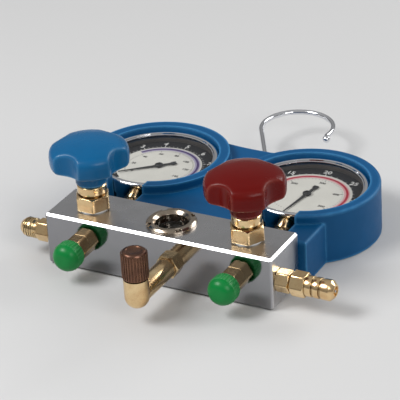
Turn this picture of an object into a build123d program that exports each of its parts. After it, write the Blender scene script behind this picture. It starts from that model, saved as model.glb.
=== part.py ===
from build123d import *
import math
import os

# A two-valve refrigerant manifold with two pressure gauges, lying on its back.
# Millimetres, +Z up. The origin is the middle of the block's back face, which rests on z = 0;
# +X runs to the high-pressure side and +Y from the block to the gauges and the hook.

SIDES = {"low": -1, "high": 1}
UP = (0, 0, 1)
FRONT = (0, -1, 0)
REAR = (0, 1, 0)

# ---------------------------------------------------------------- clearances
FIT_GAP = 0.1            # radial gap of a screwed or pressed joint
RUN_GAP = 0.08           # radial gap of a shaft that turns or slides
FACE_GAP = 0.3           # gap between faces that move apart or don't bear

# ---------------------------------------------------------------- manifold block
BLOCK_LENGTH = 134.0
BLOCK_DEPTH = 32.0
BLOCK_HEIGHT = 30.0
BLOCK_CHAMFER = 1.2
STATION = 45.8           # from the middle of the block to each valve, gauge and hose port
HOSE_PORT_HEIGHT = 15.0
GAUGE_PORT_HEIGHT = 13.0
SIDE_PORT_SETBACK = 8.5  # side ports lie this far in front of the valve axes
PASSAGE_BORE = 4.5
GALLERY_HEIGHT = 6.5
GALLERY_BORE = 5.0
PLUG_DIAMETER = 8.0
PLUG_LENGTH = 5.0
PIPE_THREAD = 9.7        # diameter of the pipe thread of each fitting
PIPE_THREAD_LENGTH = 8.0

# ---------------------------------------------------------------- valves
SEAT_HEIGHT = 12.0
SEAT_BORE = 4.5
CHAMBER_BORE = 11.0
SEAT_DISC_DIAMETER = 7.5
SEAT_DISC_THICKNESS = 2.4
SEAT_DISC_STANDOUT = 0.6
SEAT_STUD_DIAMETER = 2.6
SEAT_STUD_LENGTH = 2.6
STEM_CUP_DIAMETER = 9.6
STEM_CUP_LENGTH = 3.8
STEM_NECK_DIAMETER = 7.2
STEM_NECK_LENGTH = 2.5
STEM_THREAD = 9.0
STEM_SHAFT = 6.5
VALVE_PITCH = 1.25       # lift for one turn of the knob
VALVE_TURNS = 2.0
BONNET_THREAD = 14.0
BONNET_HEX = 17.0
BONNET_HEX_LENGTH = 8.0
BONNET_COLLAR = 15.8
BONNET_RISE = 15.0
BONNET_GASKET_DIAMETER = 16.4
BONNET_GASKET_THICKNESS = 0.8
O_RING_SECTION = 1.8
O_RING_DEPTH = 3.5       # from the top of the bonnet to the middle of its O-ring

# ---------------------------------------------------------------- knobs
KNOB_DIAMETER = 43.0
KNOB_GAP = 0.4           # from the bonnet's top to the knob's skirt when shut
KNOB_SKIRT_DIAMETER = 16.6
KNOB_NECK_DIAMETER = 17.6
KNOB_NECK_LENGTH = 5.6
KNOB_RIM_HEIGHT = 17.4   # from the skirt to the widest section
KNOB_UNDERSIDE = [(15.6, 8.2), (20.2, 12.0)]             # (radius, height) between neck and rim
KNOB_DOME = [(19.4, 20.2), (16.6, 21.8), (9.0, 24.6)]    # (radius, height) between rim and apex
KNOB_APEX_HEIGHT = 25.6
KNOB_LOBES = 4
KNOB_HOLLOW_RADIUS = 10.5
KNOB_HOLLOW_DEPTH = 4.6
KNOB_SOCKET_DEPTH = 16.0
KNOB_BEARING = {"low": -8.0, "high": -14.0}   # degrees to one finger hollow at rest

# ---------------------------------------------------------------- sight glass
SIGHT_OFFSET = 1.5        # the sight glass lies this far to the right of the block's middle
SIGHT_FLANGE_DIAMETER = 27.0
SIGHT_FLANGE_RISE = 2.2
SIGHT_THREAD = 22.0
SIGHT_OPENING = 17.0
SIGHT_CHAMBER_BORE = 14.0
SIGHT_WELL_DEPTH = 7.8
SIGHT_LENS_DIAMETER = 19.8
SIGHT_LENS_THICKNESS = 2.8
SIGHT_SEAL_THICKNESS = 1.5
SIGHT_SLOT_WIDTH = 3.0
SIGHT_SLOT_DEPTH = 1.2
SIGHT_SLOTS = 4

# ---------------------------------------------------------------- flare ports
FLARE_THREAD = 11.1
FLARE_LENGTH = 12.0
HOSE_FLARE_LENGTH = 9.0
FLARE_BORE = 5.2
FLARE_NOSE = 6.8         # diameter of the flare cone's small end
FLARE_CONE_LENGTH = 2.2
PORT_HEX = 12.0
PORT_HEX_LENGTH = 8.0
PORT_CAP_DIAMETER = 15.6
PORT_CAP_LENGTH = 11.2
PORT_CAP_DOME_RADIUS = 6.0
PORT_CAP_END_WALL = 1.8
CAP_TRAVEL = 30.0

# ---------------------------------------------------------------- centre elbow and service cap
ELBOW_OFFSET = 8.0       # the centre port lies this far to the right of the block's middle
ELBOW_REACH = 34.8       # from the block's face to the riser's axis
ELBOW_RUN_DIAMETER = 11.0
ELBOW_HEX_LENGTH = 4.0
ELBOW_BODY = 13.0
ELBOW_RISER_BASE = 10.4  # from the run's axis to the riser's flat seat
SERVICE_CAP_DIAMETER = 14.0
SERVICE_CAP_LENGTH = 15.7
SERVICE_CAP_BEVEL = 1.0
RISER_COUNTERBORE = 0.5
SERVICE_CAP_TOP = 2.0
SERVICE_GASKET_THICKNESS = 1.0

# ---------------------------------------------------------------- valve cores
CORE_DIAMETER = 5.0
CORE_LENGTH = 9.0
CORE_SETBACK = 1.0       # from the port's end to the core's collar
CORE_PIN_DIAMETER = 1.5
CORE_PIN_LENGTH = 11.5
CORE_PIN_STANDOUT = 0.8
CORE_PIN_TRAVEL = 1.0

# ---------------------------------------------------------------- side fittings
SIDE_HEX = 11.0
LOW_SIDE_HEX_LENGTH = 8.6
LOW_SIDE_STEM_LENGTH = 10.4
HIGH_SIDE_HEX_LENGTH = 7.6
ADAPTER_HEX = 12.0
ADAPTER_HEX_LENGTH = 8.0
ADAPTER_NECK_DIAMETER = 8.0
ADAPTER_NECK_LENGTH = 0.8
ADAPTER_STEM_LENGTH = 15.6
ADAPTER_GROOVES = 2
ADAPTER_BAND = 4.2       # pitch of the grooves from the hexagon
ADAPTER_GROOVE_WIDTH = 1.4
ADAPTER_GROOVE_DEPTH = 0.9
ADAPTER_SPIGOT_LENGTH = 4.0

# ---------------------------------------------------------------- gauges
GAUGE_SETBACK = 71.4     # from the middle of the block to the gauges' centres
CASE_DIAMETER = 66.6
CASE_WALL = 0.8
CASE_RIM_HEIGHT = 21.5
BEZEL_DIAMETER = 68.0
BEZEL_HEIGHT = 26.4
BEZEL_OPENING = 61.0
BEZEL_SKIRT_LENGTH = 8.4
BEZEL_LIP = 1.2
LENS_THICKNESS = 1.6
LENS_DIAMETER = 65.0
DIAL_DIAMETER = 64.4
DIAL_THICKNESS = 0.6
DIAL_HEIGHT = 20.4       # top face
DIAL_HOLE = 2.6
DIAL_LEDGE = 1.3
GASKET_WIDTH = 1.8

# ---------------------------------------------------------------- gauge movement
MODULE = 0.35
PINION_TEETH = 12
SECTOR_FULL_TEETH = 90
TOOTH_SHARE = 0.38       # tooth thickness as a share of the pitch
SECTOR_THICKNESS = 1.0
SECTOR_HEIGHT = 12.0     # underside of the sector
SECTOR_MARGIN = 6.0      # degrees of teeth past each end of the swing
SECTOR_BAND = 2.2
SECTOR_SPOKE_WIDTH = 2.4
SECTOR_HUB_DIAMETER = 4.6
ARBOR_DIAMETER = 1.6
PINION_ARBOR_DIAMETER = 1.4
PINION_LENGTH = 2.0
TAIL_LENGTH = 5.0
TAIL_ANGLE = -20.0
TAIL_EYE_DIAMETER = 3.0
LINK_PIN_DIAMETER = 1.2
LINK_THICKNESS = 0.8
LINK_WIDTH = 1.8
LINK_GAP = 0.15
PLATE_THICKNESS = 1.0
LOWER_PLATE_HEIGHT = 9.5
UPPER_PLATE_HEIGHT = 16.0
PLATE_CORNER_RADIUS = 3.0
PILLAR_DIAMETER = 3.0
POINTER_HEIGHT = 21.0
POINTER_THICKNESS = 0.5
POINTER_LENGTH = 23.5
POINTER_TAIL = 10.0
POINTER_HUB_DIAMETER = 5.0
POINTER_HUB_HEIGHT = 1.3
SWEEP = {"low": (-42.0, 262.0), "high": (0.0, 300.0)}   # degrees of pointer travel from rest
REST_BEARING = {"low": 230.0, "high": 188.0}            # pointer at rest, clockwise from the top

# ---------------------------------------------------------------- Bourdon tube and socket
TUBE_RADIUS = 24.0
TUBE_WIDTH = 7.0
TUBE_THICKNESS = 2.4
TUBE_WALL = 0.5
TUBE_BOTTOM = 5.0
TUBE_ARC = 270.0
TUBE_ROOT_ANGLE = 255.0
TIP_LUG = 4.6
TIP_LUG_RISE = 0.9
SOCKET_HEX = 14.0
SOCKET_HEX_LENGTH = 8.0
SOCKET_SHANK = 10.0
SOCKET_BLOCK_WIDTH = 15.0
SOCKET_BLOCK_TOP = 17.5
SOCKET_BLOCK_DEPTH = 4.0
SOCKET_FLOOR_GAP = 0.5
TONGUE_WIDTH = 8.0
TONGUE_LENGTH = 13.5
ROOT_BOSS_WIDTH = 5.0
ROOT_BOSS_DEPTH = 7.0
ROOT_BOSS_WALL = 0.6

# ---------------------------------------------------------------- boot
BOOT_RING_DIAMETER = 80.5
BOOT_RIM_HEIGHT = 29.0
BOOT_WEB_HEIGHT = 24.0
BOOT_FLOOR = 3.3
BOOT_WELL_GAP = 0.3
BOOT_HALF_WIDTH = 71.0
BOOT_FAR_EDGE = 105.0    # at the middle; the edge bows out to the rings
BOOT_FAR_EDGE_ENDS = 111.2
BOOT_FAR_EDGE_REACH = 40.0
BOOT_NOTCH_WIDTH = 22.0
BOOT_EDGE_RADIUS = 1.4
BOOT_SKIN = 3.0
BOOT_WALL = 3.0
BOOT_CELL_MAX = 18.0

# ---------------------------------------------------------------- hook
WIRE_DIAMETER = 3.0
HOOK_HEIGHT = 15.0
HOOK_RING_RADIUS = 21.0
HOOK_RING_SETBACK = 155.3
HOOK_SPREAD = 30.0       # angle of the straight leg to the shank
HOOK_BEND_RADIUS = 10.0
HOOK_MOUTH_ANGLE = -8.0
HOOK_FLARE_RADIUS = 6.0
HOOK_FLARE_ANGLE = 50.0
HOOK_TIP_DIAMETER = 4.4
HOOK_BOSS_LENGTH = 9.0
HOOK_SHANK_END = 4.0     # shank past the collar's near face
HOOK_COLLAR_DIAMETER = 7.0
HOOK_COLLAR_LENGTH = 3.0


# ---------------------------------------------------------------- helpers
def turned(*outline):
    """A solid turned about the local Z axis from (radius, height) corners."""
    edge = Polyline(*[(radius, 0, height) for radius, height in outline], close=True)
    return revolve(make_face(edge), Axis.Z)


def rod(diameter, start, end):
    """A round bar on the local Z axis between two heights."""
    bar = Cylinder(diameter / 2, end - start, align=(Align.CENTER, Align.CENTER, Align.MIN))
    return Pos(0, 0, start) * bar


def hex_bar(across_flats, start, end, chamfer_start=False, chamfer_end=False):
    """A hexagon bar on the local Z axis, its chosen ends turned back to a round."""
    outline = RegularPolygon(across_flats / 2, 6, major_radius=False)
    bar = Pos(0, 0, start) * extrude(outline, end - start)
    corner = across_flats / math.sqrt(3)
    flat = 0.475 * across_flats
    drop = (corner - flat) * math.tan(math.radians(30))
    low = (flat, start) if chamfer_start else (corner, start)
    high = (flat, end) if chamfer_end else (corner, end)
    low_step = (corner, start + drop)
    high_step = (corner, end - drop)
    return bar & turned((0, start), low, low_step, high_step, high, (0, end))


def aim(origin, direction):
    """A place whose local Z points along a direction that isn't vertical, local X kept level."""
    level = Vector(0, 0, 1).cross(Vector(*direction))
    return Plane(origin=origin, x_dir=level, z_dir=direction).location


def flare_nose(start, tip):
    """A male flare port on the local Z axis: thread and cone, still solid."""
    return turned(
        (0, start),
        (FLARE_THREAD / 2, start),
        (FLARE_THREAD / 2, tip - FLARE_CONE_LENGTH),
        (FLARE_NOSE / 2, tip),
        (0, tip),
    )


def pipe_stub():
    """The pipe thread that screws into the block, below the local origin."""
    return rod(PIPE_THREAD, -PIPE_THREAD_LENGTH + FACE_GAP, 0)


# ---------------------------------------------------------------- shared places
HALF_LENGTH = BLOCK_LENGTH / 2
HALF_DEPTH = BLOCK_DEPTH / 2
CHAMBER_TOP = SEAT_HEIGHT + FACE_GAP + STEM_CUP_LENGTH + VALVE_PITCH * VALVE_TURNS + 2 * FACE_GAP
BONNET_THREAD_LENGTH = BLOCK_HEIGHT - CHAMBER_TOP
VALVE_LIFT = VALVE_PITCH * VALVE_TURNS
SIGHT_LEDGE = BLOCK_HEIGHT - SIGHT_WELL_DEPTH
PINION_RADIUS = MODULE * PINION_TEETH / 2
SECTOR_RADIUS = MODULE * SECTOR_FULL_TEETH / 2
SECTOR_PIVOT_SETBACK = PINION_RADIUS + SECTOR_RADIUS
GEAR_RATIO = SECTOR_FULL_TEETH / PINION_TEETH
TUBE_TOP = TUBE_BOTTOM + TUBE_WIDTH
LINK_HEIGHT = SECTOR_HEIGHT + SECTOR_THICKNESS + LINK_GAP
BOOT_WELL_RADIUS = BEZEL_DIAMETER / 2 + BOOT_WELL_GAP


def valve_place(side):
    return Pos(SIDES[side] * STATION, 0, 0)


def gauge_place(side):
    return Pos(SIDES[side] * STATION, GAUGE_SETBACK, 0)


# ---------------------------------------------------------------- manifold block
def port_hole(place, depth):
    """A pipe-threaded hole with the passage behind it, as a cutter."""
    thread = rod(PIPE_THREAD + 2 * FIT_GAP, -PIPE_THREAD_LENGTH, 0)
    passage = rod(PASSAGE_BORE, -depth, -PIPE_THREAD_LENGTH)
    return place * (thread + passage)


def make_block():
    block = Box(BLOCK_LENGTH, BLOCK_DEPTH, BLOCK_HEIGHT, align=(Align.CENTER, Align.CENTER, Align.MIN))
    block = chamfer(block.edges(), BLOCK_CHAMFER)
    thread_radius = BONNET_THREAD / 2 + FIT_GAP
    valve_cavity = turned(
        (0, GALLERY_HEIGHT),
        (SEAT_BORE / 2, GALLERY_HEIGHT),
        (SEAT_BORE / 2, SEAT_HEIGHT),
        (CHAMBER_BORE / 2, SEAT_HEIGHT),
        (CHAMBER_BORE / 2, CHAMBER_TOP),
        (thread_radius, CHAMBER_TOP),
        (thread_radius, BLOCK_HEIGHT),
        (0, BLOCK_HEIGHT),
    )
    sight_radius = SIGHT_THREAD / 2 + FIT_GAP
    sight_cavity = turned(
        (0, GALLERY_HEIGHT),
        (SIGHT_CHAMBER_BORE / 2, GALLERY_HEIGHT),
        (SIGHT_CHAMBER_BORE / 2, SIGHT_LEDGE),
        (sight_radius, SIGHT_LEDGE),
        (sight_radius, BLOCK_HEIGHT),
        (0, BLOCK_HEIGHT),
    )
    block -= Pos(SIGHT_OFFSET, 0, 0) * sight_cavity
    for side, sign in SIDES.items():
        block -= valve_place(side) * valve_cavity
        front = aim((sign * STATION, -HALF_DEPTH, HOSE_PORT_HEIGHT), FRONT)
        rear = aim((sign * STATION, HALF_DEPTH, GAUGE_PORT_HEIGHT), REAR)
        end = aim((sign * HALF_LENGTH, -SIDE_PORT_SETBACK, HOSE_PORT_HEIGHT), (sign, 0, 0))
        block -= port_hole(front, HALF_DEPTH)
        block -= port_hole(rear, HALF_DEPTH)
        block -= port_hole(end, HALF_LENGTH - STATION)
    block -= port_hole(aim((ELBOW_OFFSET, -HALF_DEPTH, HOSE_PORT_HEIGHT), FRONT), HALF_DEPTH)
    gallery = aim((-HALF_LENGTH, 0, GALLERY_HEIGHT), (-1, 0, 0))
    block -= gallery * rod(GALLERY_BORE, -(HALF_LENGTH + STATION), 0)
    block -= gallery * rod(PLUG_DIAMETER, -PLUG_LENGTH, 0)
    return block


def make_gallery_plug():
    place = aim((-HALF_LENGTH, 0, GALLERY_HEIGHT), (-1, 0, 0))
    return place * rod(PLUG_DIAMETER - 2 * FIT_GAP, -PLUG_LENGTH, -FACE_GAP)


# ---------------------------------------------------------------- valves
def make_bonnet():
    shaft_radius = STEM_SHAFT / 2 + RUN_GAP
    thread_radius = STEM_THREAD / 2 + RUN_GAP
    bottom = CHAMBER_TOP + FACE_GAP
    top = BLOCK_HEIGHT + BONNET_RISE
    thread_top = STEM_SHOULDER + VALVE_LIFT + FACE_GAP
    ring_middle = top - O_RING_DEPTH
    ring_low = ring_middle - O_RING_SECTION / 2
    ring_high = ring_middle + O_RING_SECTION / 2
    ring_radius = shaft_radius + O_RING_SECTION
    body = rod(BONNET_THREAD, bottom, BLOCK_HEIGHT)
    hex_start = BLOCK_HEIGHT + BONNET_GASKET_THICKNESS
    body += hex_bar(BONNET_HEX, hex_start, hex_start + BONNET_HEX_LENGTH, chamfer_end=True)
    body += rod(BONNET_COLLAR, hex_start + BONNET_HEX_LENGTH, top)
    body += rod(BONNET_THREAD, BLOCK_HEIGHT, BLOCK_HEIGHT + BONNET_GASKET_THICKNESS)
    bore = turned(
        (0, bottom),
        (thread_radius, bottom),
        (thread_radius, thread_top),
        (shaft_radius, thread_top),
        (shaft_radius, ring_low),
        (ring_radius, ring_low),
        (ring_radius, ring_high),
        (shaft_radius, ring_high),
        (shaft_radius, top),
        (0, top),
    )
    return body - bore


def make_bonnet_gasket():
    top = BLOCK_HEIGHT + BONNET_GASKET_THICKNESS
    washer = rod(BONNET_GASKET_DIAMETER, BLOCK_HEIGHT, top)
    return washer - rod(BONNET_THREAD + 2 * FIT_GAP, BLOCK_HEIGHT, top)


def make_stem_o_ring():
    height = BLOCK_HEIGHT + BONNET_RISE - O_RING_DEPTH
    middle = STEM_SHAFT / 2 + RUN_GAP + O_RING_SECTION / 2
    return Pos(0, 0, height) * Torus(middle, O_RING_SECTION / 2 - RUN_GAP / 2)


STEM_BOTTOM = SEAT_HEIGHT + RUN_GAP + SEAT_DISC_STANDOUT
STEM_CUP_TOP = STEM_BOTTOM + STEM_CUP_LENGTH
STEM_SHOULDER = BLOCK_HEIGHT + 1.2
KNOB_BOTTOM = BLOCK_HEIGHT + BONNET_RISE + KNOB_GAP
STEM_TOP = KNOB_BOTTOM + KNOB_SOCKET_DEPTH - FACE_GAP


def make_stem():
    recess_depth = SEAT_DISC_THICKNESS - SEAT_DISC_STANDOUT + RUN_GAP
    body = turned(
        (0, STEM_BOTTOM),
        (STEM_CUP_DIAMETER / 2, STEM_BOTTOM),
        (STEM_CUP_DIAMETER / 2, STEM_CUP_TOP),
        (STEM_NECK_DIAMETER / 2, STEM_CUP_TOP),
        (STEM_NECK_DIAMETER / 2, STEM_CUP_TOP + STEM_NECK_LENGTH),
        (STEM_THREAD / 2, STEM_CUP_TOP + STEM_NECK_LENGTH),
        (STEM_THREAD / 2, STEM_SHOULDER),
        (STEM_SHAFT / 2, STEM_SHOULDER),
        (STEM_SHAFT / 2, STEM_TOP),
        (0, STEM_TOP),
    )
    body -= rod(SEAT_DISC_DIAMETER + 2 * RUN_GAP, STEM_BOTTOM, STEM_BOTTOM + recess_depth)
    stud_floor = STEM_BOTTOM + recess_depth
    body -= rod(SEAT_STUD_DIAMETER + 2 * RUN_GAP, stud_floor, stud_floor + SEAT_STUD_LENGTH)
    return body


def make_seat_disc():
    bottom = SEAT_HEIGHT + RUN_GAP
    top = bottom + SEAT_DISC_THICKNESS
    disc = rod(SEAT_DISC_DIAMETER, bottom, top)
    return disc + rod(SEAT_STUD_DIAMETER, top, top + SEAT_STUD_LENGTH - RUN_GAP)


def make_knob(side):
    """A domed knob with finger hollows cut down its rim, flaring up from a round neck."""
    rim = KNOB_DIAMETER / 2
    neck = KNOB_NECK_DIAMETER / 2
    apex = KNOB_APEX_HEIGHT
    underside = Spline(
        (neck, 0, KNOB_NECK_LENGTH),
        *[(radius, 0, height) for radius, height in KNOB_UNDERSIDE],
        (rim, 0, KNOB_RIM_HEIGHT),
        tangents=[(0.3, 0, 1), (0, 0, 1)],
    )
    dome = Spline(
        (rim, 0, KNOB_RIM_HEIGHT),
        *[(radius, 0, height) for radius, height in KNOB_DOME],
        (0, 0, apex),
        tangents=[(0, 0, 1), (-1, 0, 0)],
    )
    lower = Polyline((0, 0, apex), (0, 0, 0), (KNOB_SKIRT_DIAMETER / 2, 0, 0), (neck, 0, KNOB_NECK_LENGTH))
    body = revolve(make_face([underside, dome, lower]), Axis.Z)
    hollow_centre = rim + KNOB_HOLLOW_RADIUS - KNOB_HOLLOW_DEPTH
    hollow = Pos(hollow_centre, 0, 0) * rod(2 * KNOB_HOLLOW_RADIUS, KNOB_NECK_LENGTH, apex)
    for index in range(KNOB_LOBES):
        body -= Rot(0, 0, 360 * index / KNOB_LOBES) * hollow
    body -= rod(STEM_SHAFT + 2 * FIT_GAP, 0, KNOB_SOCKET_DEPTH)
    return Rot(0, 0, KNOB_BEARING[side]) * body


# ---------------------------------------------------------------- sight glass
def make_sight_glass_ring():
    bottom = SIGHT_LEDGE + FACE_GAP
    top = BLOCK_HEIGHT + SIGHT_FLANGE_RISE
    lens_top = SIGHT_LEDGE + SIGHT_SEAL_THICKNESS + SIGHT_LENS_THICKNESS
    lens_radius = SIGHT_LENS_DIAMETER / 2 + FIT_GAP
    bevel = SIGHT_FLANGE_RISE / 2
    ring = turned(
        (lens_radius, bottom),
        (SIGHT_THREAD / 2, bottom),
        (SIGHT_THREAD / 2, BLOCK_HEIGHT),
        (SIGHT_FLANGE_DIAMETER / 2, BLOCK_HEIGHT),
        (SIGHT_FLANGE_DIAMETER / 2, top - bevel),
        (SIGHT_FLANGE_DIAMETER / 2 - bevel, top),
        (SIGHT_OPENING / 2 + bevel, top),
        (SIGHT_OPENING / 2, top - bevel),
        (SIGHT_OPENING / 2, lens_top),
        (lens_radius, lens_top),
    )
    slot = Box(SIGHT_FLANGE_DIAMETER, SIGHT_SLOT_WIDTH, 2 * SIGHT_SLOT_DEPTH)
    slot -= rod(2 * SIGHT_THREAD / 2, -SIGHT_SLOT_DEPTH, SIGHT_SLOT_DEPTH)
    for index in range(SIGHT_SLOTS // 2):
        ring -= Pos(0, 0, top) * Rot(0, 0, 360 * (index + 0.5) / SIGHT_SLOTS) * slot
    return ring


def make_sight_glass_lens():
    bottom = SIGHT_LEDGE + SIGHT_SEAL_THICKNESS
    return rod(SIGHT_LENS_DIAMETER, bottom, bottom + SIGHT_LENS_THICKNESS)


def make_sight_glass_seal():
    top = SIGHT_LEDGE + SIGHT_SEAL_THICKNESS
    return rod(SIGHT_LENS_DIAMETER, SIGHT_LEDGE, top) - rod(SIGHT_CHAMBER_BORE, SIGHT_LEDGE, top)


# ---------------------------------------------------------------- hose ports
def make_hose_port():
    """On the local Z axis, its hexagon standing on the block's face at the origin."""
    tip = PORT_HEX_LENGTH + HOSE_FLARE_LENGTH
    body = pipe_stub() + hex_bar(PORT_HEX, 0, PORT_HEX_LENGTH, chamfer_end=True)
    body += flare_nose(PORT_HEX_LENGTH, tip)
    return body - rod(PASSAGE_BORE, -PIPE_THREAD_LENGTH, tip)


def make_port_cap():
    start = PORT_HEX_LENGTH + FACE_GAP
    end = start + PORT_CAP_LENGTH
    radius = PORT_CAP_DIAMETER / 2
    mouth = radius - 0.5
    dome_start = end - PORT_CAP_DOME_RADIUS
    crown = radius - PORT_CAP_DOME_RADIUS
    arc_middle = PORT_CAP_DOME_RADIUS * math.sqrt(0.5)
    profile = Polyline((crown, 0, end), (0, 0, end), (0, 0, start), (mouth, 0, start), (radius, 0, dome_start))
    corner = ThreePointArc(
        (radius, 0, dome_start),
        (crown + arc_middle, 0, dome_start + arc_middle),
        (crown, 0, end),
    )
    cap = revolve(make_face([profile, corner]), Axis.Z)
    return cap - rod(FLARE_THREAD + 2 * FIT_GAP, start, end - PORT_CAP_END_WALL)


# ---------------------------------------------------------------- centre elbow
ELBOW_AXIS_Y = -HALF_DEPTH - ELBOW_REACH
RISER_BASE = HOSE_PORT_HEIGHT + ELBOW_RISER_BASE
RISER_TIP = RISER_BASE + FLARE_LENGTH


def make_centre_elbow():
    riser = Pos(ELBOW_OFFSET, ELBOW_AXIS_Y, 0)
    run = aim((ELBOW_OFFSET, -HALF_DEPTH, HOSE_PORT_HEIGHT), FRONT)
    body = run * (pipe_stub() + hex_bar(PORT_HEX, 0, ELBOW_HEX_LENGTH, chamfer_end=True))
    body += run * rod(ELBOW_RUN_DIAMETER, ELBOW_HEX_LENGTH, ELBOW_REACH)
    body += riser * Pos(0, 0, HOSE_PORT_HEIGHT) * Sphere(ELBOW_BODY / 2)
    body += riser * rod(ELBOW_BODY, HOSE_PORT_HEIGHT, RISER_BASE)
    body += riser * flare_nose(RISER_BASE, RISER_TIP)
    body -= run * rod(PASSAGE_BORE, -PIPE_THREAD_LENGTH, ELBOW_REACH)
    body -= riser * rod(PASSAGE_BORE, HOSE_PORT_HEIGHT, RISER_BASE)
    return body - riser * rod(FLARE_BORE, RISER_BASE - RISER_COUNTERBORE, RISER_TIP)


def make_valve_core():
    """A screwed core on the local Z axis, its port ending at the origin."""
    top = -CORE_SETBACK
    body = rod(CORE_DIAMETER, top - CORE_LENGTH, top)
    return body - rod(CORE_PIN_DIAMETER + 2 * RUN_GAP, top - CORE_LENGTH, top)


def make_core_pin():
    top = -CORE_SETBACK + CORE_PIN_STANDOUT
    return rod(CORE_PIN_DIAMETER, top - CORE_PIN_LENGTH, top)


def make_service_cap():
    bottom = RISER_BASE + FACE_GAP
    top = bottom + SERVICE_CAP_LENGTH
    radius = SERVICE_CAP_DIAMETER / 2
    cap = turned(
        (0, bottom),
        (radius - SERVICE_CAP_BEVEL / 2, bottom),
        (radius, bottom + SERVICE_CAP_BEVEL / 2),
        (radius, top - SERVICE_CAP_BEVEL),
        (radius - SERVICE_CAP_BEVEL, top),
        (0, top),
    )
    cap -= rod(FLARE_THREAD + 2 * FIT_GAP, bottom, top - SERVICE_CAP_TOP)
    return Pos(ELBOW_OFFSET, ELBOW_AXIS_Y, 0) * cap


def make_service_cap_gasket():
    top = RISER_BASE + FACE_GAP + SERVICE_CAP_LENGTH - SERVICE_CAP_TOP
    disc = rod(FLARE_THREAD, top - SERVICE_GASKET_THICKNESS, top)
    return Pos(ELBOW_OFFSET, ELBOW_AXIS_Y, 0) * disc


# ---------------------------------------------------------------- side fittings
def make_low_side_fitting():
    """A hexagon with a plain threaded nose for a hose, on the local Z axis."""
    body = pipe_stub() + hex_bar(SIDE_HEX, 0, LOW_SIDE_HEX_LENGTH, True, True)
    body += rod(FLARE_BORE + 2.4, LOW_SIDE_HEX_LENGTH, LOW_SIDE_HEX_LENGTH + 1.0)
    tip = LOW_SIDE_HEX_LENGTH + LOW_SIDE_STEM_LENGTH
    nose = turned(
        (0, LOW_SIDE_HEX_LENGTH + 1.0),
        (FLARE_THREAD / 2 - 0.6, LOW_SIDE_HEX_LENGTH + 1.0),
        (FLARE_THREAD / 2, LOW_SIDE_HEX_LENGTH + 1.6),
        (FLARE_THREAD / 2, tip - FLARE_CONE_LENGTH),
        (FLARE_NOSE / 2, tip),
        (0, tip),
    )
    body += nose
    body -= rod(PASSAGE_BORE, -PIPE_THREAD_LENGTH, tip)
    return body - rod(FLARE_BORE, tip - CORE_SETBACK - CORE_LENGTH - FACE_GAP, tip)


def make_high_side_fitting():
    body = pipe_stub() + hex_bar(SIDE_HEX, 0, HIGH_SIDE_HEX_LENGTH, True, True)
    body -= rod(PASSAGE_BORE, -PIPE_THREAD_LENGTH, HIGH_SIDE_HEX_LENGTH)
    socket = HIGH_SIDE_HEX_LENGTH - ADAPTER_SPIGOT_LENGTH - FACE_GAP
    return body - rod(ADAPTER_NECK_DIAMETER + 2 * FIT_GAP, socket, HIGH_SIDE_HEX_LENGTH)


def make_high_side_adapter():
    """Screws into the high side fitting: a waist, a second hexagon and a grooved stem."""
    hex_start = HIGH_SIDE_HEX_LENGTH + ADAPTER_NECK_LENGTH
    stem_start = hex_start + ADAPTER_HEX_LENGTH
    tip = stem_start + ADAPTER_STEM_LENGTH
    body = rod(ADAPTER_NECK_DIAMETER, HIGH_SIDE_HEX_LENGTH - ADAPTER_SPIGOT_LENGTH, hex_start)
    body += hex_bar(ADAPTER_HEX, hex_start, stem_start, True, True)
    body += flare_nose(stem_start, tip)
    for index in range(ADAPTER_GROOVES):
        middle = stem_start + ADAPTER_BAND * (index + 1)
        groove = rod(FLARE_THREAD + 2, middle - ADAPTER_GROOVE_WIDTH / 2, middle + ADAPTER_GROOVE_WIDTH / 2)
        waist = rod(
            FLARE_THREAD - 2 * ADAPTER_GROOVE_DEPTH,
            middle - ADAPTER_GROOVE_WIDTH / 2,
            middle + ADAPTER_GROOVE_WIDTH / 2,
        )
        body -= groove - waist
    body -= rod(PASSAGE_BORE, HIGH_SIDE_HEX_LENGTH - ADAPTER_SPIGOT_LENGTH, tip)
    return body - rod(FLARE_BORE, tip - CORE_SETBACK - CORE_LENGTH - FACE_GAP, tip)


# ---------------------------------------------------------------- gauge case
def make_gauge_case():
    radius = CASE_DIAMETER / 2
    inside = radius - CASE_WALL
    dial_seat = DIAL_HEIGHT - DIAL_THICKNESS
    case = turned(
        (0, BOOT_FLOOR),
        (radius, BOOT_FLOOR),
        (radius, CASE_RIM_HEIGHT),
        (inside, CASE_RIM_HEIGHT),
        (inside, dial_seat),
        (inside - DIAL_LEDGE, dial_seat),
        (inside, dial_seat - DIAL_LEDGE),
        (inside, BOOT_FLOOR + CASE_WALL),
        (0, BOOT_FLOOR + CASE_WALL),
    )
    stem = aim((0, -radius - 1, GAUGE_PORT_HEIGHT), FRONT)
    return case - stem * rod(SOCKET_SHANK + 2 * FIT_GAP, -radius / 3, 1)


def make_gauge_bezel():
    outside = BEZEL_DIAMETER / 2
    skirt = CASE_DIAMETER / 2 + FIT_GAP
    opening = BEZEL_OPENING / 2
    under = BEZEL_HEIGHT - BEZEL_LIP
    round_off = BEZEL_LIP * 0.8
    return turned(
        (skirt, BEZEL_HEIGHT - BEZEL_SKIRT_LENGTH),
        (outside, BEZEL_HEIGHT - BEZEL_SKIRT_LENGTH),
        (outside, BEZEL_HEIGHT - round_off),
        (outside - 0.3 * round_off, BEZEL_HEIGHT - 0.3 * round_off),
        (outside - round_off, BEZEL_HEIGHT),
        (opening + 2 * round_off, BEZEL_HEIGHT - 0.2 * round_off),
        (opening, under + 0.3 * round_off),
        (opening, under),
        (skirt, under),
    )


def make_gauge_lens():
    top = BEZEL_HEIGHT - BEZEL_LIP
    return rod(LENS_DIAMETER, top - LENS_THICKNESS, top)


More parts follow.
